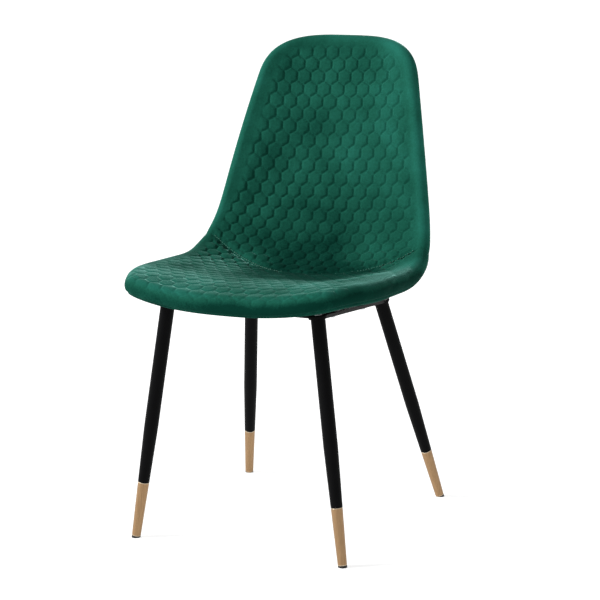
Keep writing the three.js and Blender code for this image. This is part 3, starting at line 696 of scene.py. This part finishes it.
def spread(coarse, rings, spokes_count):
    """Bilinear: the coarse numbers at fractional ring and spoke places, going round."""
    ring = np.clip(rings, 0, coarse.shape[0] - 1.001)[:, None]
    spoke = (np.arange(spokes_count) * coarse.shape[1] / spokes_count)[None, :]
    i, j = np.floor(ring).astype(int), np.floor(spoke).astype(int)
    a, b, k = ring - i, spoke - j, (j + 1) % coarse.shape[1]
    low = coarse[i, j] * (1 - b) + coarse[i, k] * b
    high = coarse[i + 1, j] * (1 - b) + coarse[i + 1, k] * b
    return low * (1 - a) + high * a


LIFT_CAP = 0.003
lift = swell()
print("cloth moved", np.round(np.percentile(lift, [1, 25, 50, 75, 99]) * 1000, 2), "mm")
lift = LIFT_CAP * np.tanh(lift / LIFT_CAP / 2)
lift[-1] = 0

# %% [markdown]
# ## The quilted seat and back
# The seat and the back are two pads that meet in the cross seam. Both are cut from one fine
# grid along the seam, so their edges match. Each is a closed form: the quilted outside, an
# inside that rests on the shell, and a wall along the seam and the hem.

# %% The fine grid and its heights
SPOKES, RINGS, TURNS = 1400, 130, 26
SHELL_TOP, COVER = 0.0053, 0.0028


def under_cloth(grid):
    """The inside of a pad: level with the shell's upper face, and from the outline on,
    running out to the cover's inner edge at the hem."""
    core = rim(grid["s"]) - COVER
    level = SHELL_TOP - core
    share = grid["turn"] / HEM_TURN
    out, up = share * core * np.sin(HEM_TURN), level
    up = up + (core * np.cos(HEM_TURN) - up) * ease(share, 0.93, 1)
    return grid["base"] + grid["out"] * out[..., None] + grid["up"] * up[..., None]


reaches = np.linspace(0, 1, RINGS + 1)
turns = np.linspace(0, HEM_TURN, TURNS + 1)[1:]
quilt = layer(make_spokes(SPOKES), reaches, turns)
height = quilt_height(
    *(quilt[key] for key in ("s", "x", "lay_s", "lay_x", "inside", "turn")))
rings_at = np.r_[reaches * SIM_RINGS, SIM_RINGS + turns / HEM_TURN * SIM_TURNS]
# Painted light and shade for every point of the quilt.
pile = paint_light_and_shade(*(quilt[key] for key in ("s", "x", "inside", "turn")))
held = ease(quilt["inside"], 0, 0.03)
held = held * ease(np.abs(from_seam(quilt["s"], quilt["x"])), 0.004, 0.020)
height = height + spread(lift, rings_at, SPOKES) * held
top_side = outside_of(quilt) + quilt["way"] * height[..., None]
under_side = under_cloth(quilt)
_, first, quilt_faces = weld(
    outside_of(quilt).reshape(-1, 3), ring_faces(len(rings_at), SPOKES))
columns = [top_side.reshape(-1, 3), under_side.reshape(-1, 3)]
columns += [quilt[key].reshape(-1, 1) for key in ("s", "x", "lay_s", "lay_x")]
columns += [pile.reshape(-1, 1)]
quilt_values = np.hstack(columns)[first]
print("quilting height", round(float(height.max()) * 1000, 2), "mm")


# %% Cutting the two pads apart
SEAM_GAP = 0.0003
S, X, LAY_S, LAY_X, PAINTED_SHADING_COLUMN = range(6, 11)


def make_pad(name, side, replaced):
    """The part of the quilt on one side of the seam: +1 is the back and -1 the seat. S to
    PAINTED_SHADING_COLUMN are the columns that follow the six of the outside and inside points."""
    field = side * (quilt_values[:, S] - seam_at(quilt_values[:, X])) - SEAM_GAP / 2
    values, faces = cut(quilt_values, quilt_faces, field)
    points, faces = closed(values[:, 0:3], values[:, 3:6], faces)
    both = np.vstack([values, values])
    pad = make_piece(name, points, faces, quilted_velvet, 70,
                     {"pile": both[:, PAINTED_SHADING_COLUMN]}, both[:, [LAY_X, LAY_S]])
    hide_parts(*replaced)


make_pad("seat_pad", -1, ("seat_cover", "seat_foam"))
make_pad("back_pad", 1, ("back_cover", "back_foam"))

# %% [markdown]
# ## The plain cover behind and below
# Plain velvet covers the rear of the back and runs on under the seat as far as an opening
# round the frame. It meets the quilted cloth in the hem seam. It is a single tight sheet, so
# it is the same grid of spokes on the other face, with a small thickness.

# %% The plain cover
COVER_SPOKES, COVER_RINGS, COVER_TURNS = 640, 56, 12
CLOTH = 0.0025


def middle_of(node):
    """The middle of a CAD node's box: half of its low corner plus its high one."""
    low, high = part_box(node)
    return (np.array(low) + np.array(high)) / 2


def mounting():
    """Middle and half size, seen from above, of the rectangle round the frame's bolts, and
    the place of each bolt."""
    places = np.array([middle_of(f"{corner}_insert")[:2] for corner in CORNERS])
    low, high = places.min(0), places.max(0)
    return (low + high) / 2, (high - low) / 2, places


def past_rectangle(plan, middle, half, reach):
    """Distance outside a rectangle whose corners are rounded by reach: the length of what
    is left of the offset once the half size is taken off, less the reach."""
    over = np.maximum(np.abs(plan - middle) - half, 0)
    return np.hypot(over[..., 0], over[..., 1]) - reach


CORNERS = ("front_left", "front_right", "rear_left", "rear_right")
BOSS_RADIUS, HEM_MARGIN, LAP = 0.011, 0.014, 0.010
DUST_REACH = BOSS_RADIUS + HEM_MARGIN + LAP
bolt_middle, bolt_half, bolt_places = mounting()


def make_plain_cover():
    """The sheet less its rim, on the other face, and then round the rim as far as the hem
    seam. The cloth's inner face is the same less its thickness."""
    start = HEM_TURN + SEAM_GAP / SEAT_RIM
    turns = np.linspace(np.pi, start, COVER_TURNS)
    grid = layer(make_spokes(COVER_SPOKES), [1.0], turns)
    radius = rim(grid["s"])
    near_hem = ease(grid["turn"], start + 0.22, start)
    wall = grid["base"] + grid["way"] * (radius - HEM_ROLL * near_hem)[..., None]
    wall_in = grid["base"] + grid["way"] * (radius - CLOTH)[..., None]
    face = layer(make_spokes(COVER_SPOKES), np.linspace(0, 1, COVER_RINGS + 1), [])
    back = face["base"] - face["up"] * rim(face["s"])[..., None]
    back_in = face["base"] - face["up"] * (rim(face["s"]) - CLOTH)[..., None]
    outside = np.concatenate([back[:-1], wall[1:]])
    inside = np.concatenate([back_in[:-1], wall_in[1:]])
    faces = ring_faces(len(outside), COVER_SPOKES)[:, ::-1]
    _, first, faces = weld(outside.reshape(-1, 3), faces)
    values = np.hstack([outside.reshape(-1, 3), inside.reshape(-1, 3)])[first]
    opening = past_rectangle(values[:, :2], bolt_middle, bolt_half, BOSS_RADIUS + HEM_MARGIN)
    values, faces = cut(values, faces, opening)
    points, faces = closed(values[:, :3], values[:, 3:], faces)
    # Painted shade: the plain cover is painted darker towards its bottom, under the seat.
    below = -0.8 * (1 - ease(points[:, 2], 0.44, 0.56))
    cover = make_piece("plain_cover", points, faces, plain_velvet, 50,
                       {"pile": below})
    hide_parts("outer_cover")
    return cover


plain_cover = make_plain_cover()

# %% [markdown]
# ## Threads and staples
# The cross seam is topstitched with a thick pale thread, and the black cloth under the seat
# is stapled on. Both are short bent wires repeated many times, so one function bends a whole
# row of them at once. Each has only a few dozen faces.

# %% Many short wires
def wires(paths, up, radii, around=6):
    """Round wires, one for each path. At each point of a path the section is a circle of
    cosine times the side way plus sine times the way square to it. Radii of nought close
    the ends."""
    along = unit(np.gradient(paths, axis=1))
    side = unit(np.cross(along, up[:, None, :] + 0 * along))[:, :, None]
    high = np.cross(side, along[:, :, None])
    angle = np.arange(around)[:, None] * 2 * np.pi / around
    section = np.cos(angle) * side + np.sin(angle) * high
    points = paths[:, :, None] + section * radii[None, :, None, None]
    count, length = paths.shape[:2]
    one = ring_faces(length, around)
    faces = (one[None] + (np.arange(count) * length * around)[:, None, None]).reshape(-1, 4)
    points, _, faces = weld(points.reshape(-1, 3), faces)
    return points, facing_out(points, faces)


def facing_out(points, faces):
    """The same faces, turned over if the volume they enclose comes out below nought: the sum
    over their triangles of one corner times the cross product of the other two."""
    volume = 0
    for group in faces:
        for k in range(1, group.shape[1] - 1):
            a, b, c = points[group[:, 0]], points[group[:, k]], points[group[:, k + 1]]
            volume += (a * np.cross(b, c)).sum()
    return faces if volume > 0 else [group[:, ::-1] for group in faces]


# %% The topstitching
thread = Finish("pale_thread", Roughness=0.7, Sheen_Weight=0.3, Specular_IOR_Level=0.1)
thread.feed("Base Color", thread.mix(
    thread.noise(400), (0.038, 0.155, 0.115, 1), (0.100, 0.290, 0.220, 1)))
STITCH_PITCH, STITCH_LENGTH, STITCH_FROM_SEAM = 0.0052, 0.0038, 0.0026
STITCH_RISE, STITCH_DIP, STITCHED_TO = 0.0012, 0.0003, 0.205


def quilt_surface(s, x):
    """The quilted outside at any place on the sheet: the sheet's point, plus its normal times
    the rim's radius and the height of the quilting."""
    height = quilt_height(s, x, s, x, edge(s) - np.abs(x), 0 * s)
    return sheet_point(s, x) + sheet_normal(s, x) * (rim(s) + height)[..., None]


def make_topstitch():
    """Stitches at an even pitch along a line beside the seam. Each rises over its length by
    half a sine wave and starts and ends a little under the cloth."""
    x = np.linspace(-STITCHED_TO, STITCHED_TO, 4001)
    s = seam_at(x) + STITCH_FROM_SEAM
    line = quilt_surface(s, x)
    walked = np.r_[0, np.cumsum(np.linalg.norm(np.diff(line, axis=0), axis=1))]
    count = int(walked[-1] // STITCH_PITCH)
    part = np.linspace(0, 1, 6)
    at = np.arange(count)[:, None] * STITCH_PITCH + part * STITCH_LENGTH
    stitch_x = np.interp(at, walked, x)
    stitch_s = np.interp(at, walked, s)
    up = sheet_normal(stitch_s[:, 3], stitch_x[:, 3])
    lift = STITCH_RISE * np.sin(np.pi * part) - STITCH_DIP
    paths = quilt_surface(stitch_s, stitch_x) + up[:, None] * lift[:, None]
    radii = np.array([0, 0.00045, 0.00065, 0.00065, 0.00045, 0])
    points, faces = wires(paths, up, radii)
    print(count, "stitches")
    make_piece("seam_topstitch", points, faces, thread.material)


make_topstitch()

# %% [markdown]
# ## The black cloth under the seat
# A thin spun-bonded cloth hides the underside. It is cut as a rounded rectangle with a hole
# round each mounting boss, and it sags a little between its staples.

# %% The dust cover
nonwoven = Finish("spun_bonded", Roughness=0.95, Specular_IOR_Level=0.1)
fibres = nonwoven.noise(1400, 2, 0.7)
dots = nonwoven.node("ShaderNodeTexVoronoi", {}, {
    "Vector": nonwoven.node("ShaderNodeTexCoord", output="Object"), "Scale": 700.0})
nonwoven.feed("Base Color", nonwoven.mix(
    fibres, (0.006, 0.006, 0.006, 1), (0.018, 0.018, 0.019, 1)))
nonwoven.feed("Normal", nonwoven.bump(dots + fibres * 0.6, 0.0004, 0.5))
DUST_GAP, DUST_THICKNESS, DUST_SAG, HOLE_MARGIN = 0.0003, 0.0008, 0.0003, 0.0009


def make_dust_cover():
    """A grid just under the rim's radius below the sheet, cut to a rounded rectangle and
    pierced. It sags by two crossed sine waves, which fade out at its edge."""
    s, x = np.meshgrid(
        np.linspace(0.02, 0.42, 161), np.linspace(-0.19, 0.19, 153), indexing="ij")
    up = sheet_normal(s, x)
    top = sheet_point(s, x) - up * (rim(s) + DUST_GAP)[..., None]
    past = past_rectangle(top[..., :2], bolt_middle, bolt_half, DUST_REACH)
    slack = ease(-past, 0.0, 0.02)
    sag = DUST_SAG * slack * (1 + np.sin(x / 0.011 + 9 * s) * np.sin(s / 0.017 + 7 * x))
    low = top - up * (DUST_THICKNESS - DUST_SAG + sag)[..., None]
    rows, wide = s.shape
    row, column = np.mgrid[0:rows - 1, 0:wide - 1]
    here = row * wide + column
    faces = [np.stack([here, here + wide, here + wide + 1, here + 1], -1).reshape(-1, 4)]
    values = np.hstack([low.reshape(-1, 3), top.reshape(-1, 3)])
    past = past_rectangle(values[:, :2], bolt_middle, bolt_half, DUST_REACH)
    values, faces = cut(values, faces, -past)
    for place in bolt_places:
        hole = np.hypot(*(values[:, :2] - place).T) - BOSS_RADIUS - HOLE_MARGIN
        values, faces = cut(values, faces, hole)
    points, faces = closed(values[:, :3], values[:, 3:], faces)
    faces = facing_out(points, faces)
    cover = make_piece("dust_sheet", points, faces, nonwoven.material)
    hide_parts("dust_cover")
    return cover


dust_sheet = make_dust_cover()
size = 2 * (bolt_half + DUST_REACH)
print("dust cover cut to", np.round(size, 3))

# %% Its staples
zinc = Finish("zinc_plate", Metallic=1.0, Roughness=0.32)
zinc.feed("Base Color", zinc.mix(zinc.noise(160), (0.42, 0.44, 0.46, 1), (0.62, 0.63, 0.64, 1)))
zinc.feed("Normal", zinc.bump(zinc.noise(700), 0.0002, 0.2))
STAPLE_CROWN, STAPLE_PITCH, STAPLE_INSET, STAPLE_RADIUS = 0.011, 0.042, 0.005, 0.00045


def under_at(plan):
    """The dust cover's lower face over a place on the floor, and the way down from it. The
    distance s is found by halving a range until the face's y is the one asked for."""
    low, high = np.full(len(plan), 0.01), np.full(len(plan), 0.45)
    for _ in range(40):
        middle = (low + high) / 2
        face = sheet_point(middle, plan[:, 0])
        face = face - sheet_normal(middle, plan[:, 0]) * rim(middle)[:, None]
        behind = face[:, 1] < plan[:, 1]
        low, high = np.where(behind, middle, low), np.where(behind, high, middle)
    down = -sheet_normal(low, plan[:, 0])
    return face + down * (DUST_GAP + DUST_THICKNESS), down


def make_staples():
    """Staples at an even pitch round the cloth's edge: each crown lies just under the cloth,
    and its two ends go up through it."""
    reach = DUST_REACH - STAPLE_INSET
    angle = np.linspace(0, 2 * np.pi, 2001)
    ring = np.column_stack([np.cos(angle), np.sin(angle)])
    line = bolt_middle + np.sign(ring) * bolt_half + ring * reach
    walked = np.r_[0, np.cumsum(np.linalg.norm(np.diff(line, axis=0), axis=1))]
    count = int(walked[-1] // STAPLE_PITCH)
    at = (np.arange(count) + 0.5)[:, None] * walked[-1] / count
    at = at + np.array([-0.5, -0.5, -0.46, -0.2, 0.2, 0.46, 0.5, 0.5]) * STAPLE_CROWN
    plan = np.stack([np.interp(at, walked, line[:, k], period=walked[-1]) for k in (0, 1)], -1)
    face, down = under_at(plan.reshape(-1, 2))
    depth = np.tile([-0.002, -0.001, *[0.0003] * 4, -0.001, -0.002], count)
    paths = (face + down * depth[:, None]).reshape(count, 8, 3)
    radii = np.array([0, *[STAPLE_RADIUS] * 6, 0])
    points, faces = wires(paths, -down.reshape(count, 8, 3)[:, 3], radii)
    print(count, "staples")
    make_piece("dust_cover_staples", points, faces, zinc.material)


make_staples()

# %% [markdown]
# ## Legs
# Each leg is a round tube with a long taper, a gold end pushed into it, and a black glide.
# Round pieces are turned: an outline of radius and height is carried round the leg's axis.
# The outline's corners are rounded first, because a real edge always catches a little light.
# The axis runs from the foot, which the record gives, to the middle of the plate on top.

# %% Turned pieces
MM = 0.001


def rounded(corners, radius, loop):
    """Each corner of an outline becomes a short curve: (1 - t) squared of a point before it,
    2 t (1 - t) of the corner and t squared of a point after it. Open ends stay."""
    corners = np.array(corners, float) * MM
    before, after = np.roll(corners, 1, 0) - corners, np.roll(corners, -1, 0) - corners
    reach = [np.minimum(radius * MM / np.linalg.norm(gap, axis=1), 0.45)
             for gap in (before, after)]
    if not loop:
        for shares in reach:
            shares[[0, -1]] = 0
    start, end = corners + before * reach[0][:, None], corners + after * reach[1][:, None]
    t = np.linspace(0, 1, 5)[:, None, None]
    curve = (1 - t) ** 2 * start + 2 * t * (1 - t) * corners + t * t * end
    return curve.transpose(1, 0, 2).reshape(-1, 2)


def turned(name, corners, base, axis, finish, replaced, loop=False, radius=0.5,
           around=72, socket=None, lip=0):
    """An outline of (radius, height) pairs in millimetres, carried round an axis from base.
    Where the height is above and the radius below those of socket, the section is a hexagon:
    the radius is divided by the cosine of the angle from the nearest flat. Nothing goes
    below the floor: such a point slides up along the axis, to a tenth of its height. If a
    lip is given, the value "lip" is 1 at the lowest end and at that height, and falls off
    from each as a bell a millimetre wide."""
    outline = rounded(corners, radius, loop)
    if loop:
        outline = np.vstack([outline, outline[:1]])
    side = unit(np.cross(axis, [0.0, 1.0, 0.0]))
    other = np.cross(axis, side)
    angle = np.arange(around) * 2 * np.pi / around
    ways = np.cos(angle)[:, None] * side + np.sin(angle)[:, None] * other
    reach = outline[:, :1] * np.ones(around)
    if socket:
        flat = np.cos(np.pi / 6) / np.cos(angle % (np.pi / 3) - np.pi / 6)
        in_socket = (outline[:, 0] <= socket[0] * MM) & (outline[:, 1] >= socket[1] * MM)
        reach = np.where(in_socket[:, None], reach * flat, reach)
    points = base + outline[:, None, 1:] * axis + reach[..., None] * ways
    level = 0.1 * np.maximum(outline[:, 1], 0)[:, None, None]
    points = points - np.minimum(points[..., 2:] - level, 0) / axis[2] * axis
    points, _, faces = weld(points.reshape(-1, 3), ring_faces(len(outline), around))
    values = {}
    if lip:
        low, high = outline[:, 1].min(), lip * MM
        ends = np.abs((points - base) @ axis - (low + high) / 2) - (high - low) / 2
        values["lip"] = np.exp(-(ends / (0.9 * MM)) ** 2)
    piece = make_piece(
        name, points, facing_out(points, faces), finish.material, values=values)
    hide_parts(replaced)


# %% [markdown]
# ## Black, gold and plastic
# The tubes are powder coated: nearly black, with a fine orange-peel skin. The gold ends are
# brushed along their length, so their grain is noise stretched upwards, and they are paler
# in a thin band at their two ends. The glides are moulded nylon.

# %% The leg finishes
black = Finish("black_powder_coat", Roughness=0.42, IOR=1.15, Specular_IOR_Level=0.3)
peel = black.noise(620, 2, 0.5)
black.feed("Base Color", black.mix(
    black.noise(30), (0.0022, 0.0022, 0.0024, 1), (0.0038, 0.0038, 0.0041, 1)))
black.feed("Roughness", peel * 0.12 + 0.38)
black.feed("Normal", black.bump(peel, 0.0003, 0.25))

gold = Finish("brushed_gold", Metallic=0.75, Specular_IOR_Level=0.3)
brushing = gold.noise(520, 3, 0.65, stretch=(1, 1, 0.03))
gold_colour = gold.mix(brushing, (0.19, 0.115, 0.058, 1), (0.46, 0.290, 0.150, 1))
gold.feed("Base Color", gold.mix(gold.value("lip"), gold_colour, (0.72, 0.62, 0.47, 1)))
gold.feed("Roughness", brushing * 0.25 + 0.28)
gold.feed("Normal", gold.bump(brushing, 0.0002, 0.25))

nylon = Finish("black_nylon", Roughness=0.5, Specular_IOR_Level=0.3)
nylon.feed("Base Color", nylon.mix(
    nylon.noise(90), (0.008, 0.008, 0.008, 1), (0.014, 0.014, 0.014, 1)))
nylon.feed("Normal", nylon.bump(nylon.noise(900), 0.0002, 0.3))
print("leg finishes:", *(finish.material.name for finish in (black, gold, nylon)))

# %% The four legs
mounts = {mount["name"]: mount for mount in frame["record"]["mounts"]}


def make_leg(corner):
    """One leg's five pieces, turned round the line from its foot to its plate."""
    base = np.array(mounts[f"{corner}_foot"]["pos_m"], float)
    axis = middle_of(f"{corner}_leg_plate") - base
    print(corner, "leg leans", round(float(np.degrees(np.arccos(unit(axis)[2]))), 1), "degrees")
    top = np.linalg.norm(axis) / MM - 3.3
    axis = unit(axis)
    turned(f"{corner}_tube", [
        (8.75, 103.1), (10.25, 103.1), (12.5, 205), (12.5, top), (11, top), (11, 205),
    ], base, axis, black, f"{corner}_leg_tube", loop=True)
    turned(f"{corner}_gold_end", [
        (6.5, 3.3), (8, 3.3), (8.05, 5.3), (10.2, 100.8), (10.25, 102.8), (8.45, 102.8),
        (8.45, 122.8), (6.95, 122.8), (6.95, 102.8),
    ], base, axis, gold, f"{corner}_gold_tip", loop=True, lip=102.8)
    turned(f"{corner}_glide_foot", [
        (0, -8), (8, -8), (8, 3), (6.2, 3), (6.2, 17), (0, 17),
    ], base, axis, nylon, f"{corner}_glide", radius=0.3)
    turned(f"{corner}_plate_disc", [
        (4.3, top + 0.3), (16, top + 0.3), (16, top + 6.3), (4.3, top + 6.3),
    ], base, axis, black, f"{corner}_leg_plate", loop=True, radius=0.9)
    seat = top + 6.6
    turned(f"{corner}_m8_bolt", [
        (0, seat - 27), (4, seat - 27), (4, seat), (7, seat), (7, seat + 1.4), (4.6, seat + 3),
        (2.6, seat + 3), (2.6, seat + 1), (0, seat + 1),
    ], base, axis, zinc, f"{corner}_leg_bolt", radius=0.4, around=48,
        socket=(2.7, seat + 0.5))


for corner in CORNERS:
    make_leg(corner)

# %% [markdown]
# ## The steel frame under the seat
# The rails are flat bars with sawn ends, bolted up through washers. Their CAD shape is right
# but razor sharp, so each is copied, its loose triangles are merged, and its edges are
# bevelled a little.

# %% Rails
def bevelled(name, node, width, finish):
    """A copy of a CAD node with every edge over half a radian rounded by that width."""
    mesh = frame["nodes"][node].data.copy()
    work = bmesh.new()
    work.from_mesh(mesh)
    bmesh.ops.remove_doubles(work, verts=work.verts, dist=GRAIN)
    bmesh.ops.dissolve_limit(work, angle_limit=0.02, verts=work.verts, edges=work.edges)
    edges = [e for e in work.edges if len(e.link_faces) == 2 and e.calc_face_angle(0) > 0.5]
    bmesh.ops.bevel(work, geom=edges, offset=width, segments=2, profile=0.5, affect="EDGES",
                    clamp_overlap=True)
    work.to_mesh(mesh)
    work.free()
    mesh.materials.clear()
    mesh.materials.append(finish.material)
    mesh.shade_smooth()
    mesh.set_sharp_from_angle(angle=np.radians(25))
    piece = bpy.data.objects.new(name, mesh)
    bpy.context.scene.collection.objects.link(piece)
    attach(piece, "root")
    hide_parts(node)
    print(name, len(mesh.vertices), "points", len(mesh.polygons), "faces")


for rail in ("front", "rear", "left", "right"):
    bevelled(f"{rail}_bar", f"{rail}_rail", 0.0007, black)

# %% Frame bolts and washers
FRAME_TILT, BOLT_HEAD_RADIUS = np.radians(5), 5.2
frame_up = unit(np.array([0, np.sin(FRAME_TILT), np.cos(FRAME_TILT)]))
for corner in CORNERS:
    washer = middle_of(f"{corner}_washer")
    turned(f"{corner}_flat_washer", [(3.3, -0.8), (8, -0.8), (8, 0.8), (3.3, 0.8)], washer,
           frame_up, zinc, f"{corner}_washer", loop=True, radius=0.3, around=48)
    low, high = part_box(f"{corner}_frame_bolt")
    upright = (high.z - low.z) / MM - 2 * BOLT_HEAD_RADIUS * np.sin(FRAME_TILT)
    length = upright / np.cos(FRAME_TILT)
    turned(f"{corner}_m6_bolt", [
        (0, length - 4.1), (3, length - 4.1), (3, -1.1), (BOLT_HEAD_RADIUS, -1.1),
        (BOLT_HEAD_RADIUS, -2.6), (3.6, -4.1), (2.1, -4.1), (2.1, -2.4), (0, -2.4),
    ], washer, frame_up, zinc, f"{corner}_frame_bolt", radius=0.3, around=48)

# %% [markdown]
# ## Pieces that keep their CAD shape
# The moulded shell, the threaded plugs and the brass inserts are hidden, and their CAD
# shapes are right, so they only get finishes.

# %% Finishes for the hidden pieces
polypropylene = Finish("grey_polypropylene", Roughness=0.55)
polypropylene.feed("Base Color", polypropylene.mix(
    polypropylene.noise(60), (0.020, 0.020, 0.022, 1), (0.030, 0.030, 0.033, 1)))
polypropylene.feed("Normal", polypropylene.bump(polypropylene.noise(1200), 0.0002, 0.3))
brass = Finish("turned_brass", Metallic=1.0, Roughness=0.3)
brass.feed("Base Color", brass.mix(brass.noise(300), (0.55, 0.36, 0.12, 1), (0.68, 0.48, 0.20, 1)))
kept_shapes = {"seat_shell": polypropylene}
for corner in CORNERS:
    kept_shapes[f"{corner}_leg_plug"] = zinc
    kept_shapes[f"{corner}_insert"] = brass
for node, finish in kept_shapes.items():
    piece = frame["nodes"][node]
    piece.data.materials.clear()
    piece.data.materials.append(finish.material)
print(len(kept_shapes), "pieces keep their CAD shape")

# %% [markdown]
# ## Stage, light and camera
# The chair stands on a plain pale floor that glows a little, so that it stays white. A wide
# soft sun shines from the upper left of the view, and a weak lamp above and behind the chair
# gives its top edge a rim of light. The surround is white low down, which lights the legs and
# the underside, and dim overhead, which leaves the velvet its depth.

# %% The floor
floor_finish = Finish(
    "pale_floor", Roughness=0.9, Base_Color=(0.55, 0.55, 0.55, 1), Specular_IOR_Level=0.0,
    Emission_Color=(1, 1, 1, 1), Emission_Strength=0.72)
floor_mesh = bpy.data.meshes.new("floor")
floor_mesh.from_pydata(
    [(-200, -200, 0), (200, -200, 0), (200, 200, 0), (-200, 200, 0)], [], [(0, 1, 2, 3)])
floor_mesh.materials.append(floor_finish.material)
floor = bpy.data.objects.new("floor", floor_mesh)
bpy.context.scene.collection.objects.link(floor)
floor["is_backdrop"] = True
print("floor laid at height", floor.location.z)

# %% The surround
OVERHEAD = 0.22
world = bpy.data.worlds.new("surround")
bpy.context.scene.world = world
world.use_nodes = True
sky = world.node_tree.nodes
direction, parts = sky.new("ShaderNodeTexCoord"), sky.new("ShaderNodeSeparateXYZ")
ramp = sky.new("ShaderNodeValToRGB")
for stop, place, grey in zip(ramp.color_ramp.elements, (0.10, 0.35), (1.0, OVERHEAD)):
    stop.position, stop.color = place, (grey, grey, grey, 1)
link = world.node_tree.links.new
link(direction.outputs["Generated"], parts.inputs[0])
link(parts.outputs["Z"], ramp.inputs[0])
link(ramp.outputs["Color"], sky["Background"].inputs["Color"])
bpy.context.scene.view_settings.view_transform = "Standard"
print("surround is white below and", OVERHEAD, "overhead")

# %% The lamps
EYE = Vector((1.4638, -3.1462, 1.0779))
FORWARD, RIGHT = Vector((-0.40873, 0.89274, -0.18962)), Vector((0.90923, 0.41628, 0))


def lamp(name, kind, right, ahead, up, size, power):
    """A lamp placed from the chair in the viewer's terms and aimed at the seat. Its size is
    an angle in degrees for a sun and a width in metres for a lamp."""
    level = Vector((FORWARD.x, FORWARD.y, 0)).normalized()
    light = bpy.data.lights.new(name, kind)
    light.energy = power
    if kind == "SUN":
        light.angle = np.radians(size)
    else:
        light.shape, light.size = "DISK", size
    made = bpy.data.objects.new(name, light)
    made.location = RIGHT * right + level * ahead + Vector((0, 0, up))
    aim = Vector((0, 0, 0.5)) - made.location
    made.rotation_euler = aim.to_track_quat("-Z", "Y").to_euler()
    bpy.context.scene.collection.objects.link(made)
    print(kind.lower(), name, "shines at", power)


lamp("key", "SUN", -3.6, -0.4, 2.6, 15, 3.6)
lamp("top", "AREA", -0.5, 2.2, 2.2, 0.9, 30)

# %% Camera
camera = bpy.data.objects.new("camera", bpy.data.cameras.new("camera"))
camera.data.lens, camera.data.sensor_width = 118.2, 36
upward = RIGHT.cross(FORWARD)
facing = Matrix((RIGHT, upward, -FORWARD)).transposed().to_4x4()
camera.matrix_world = Matrix.Translation(EYE) @ facing
camera.data.clip_end = 100
bpy.context.scene.collection.objects.link(camera)
bpy.context.scene.camera = camera
print("camera sees", round(float(np.degrees(camera.data.angle)), 1), "degrees")

# %% [markdown]
# ## Measuring
# The box round the visible pieces is measured and printed.

# %% Measure the visual box
low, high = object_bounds()
print("visual box", [round(side, 4) for side in high - low])
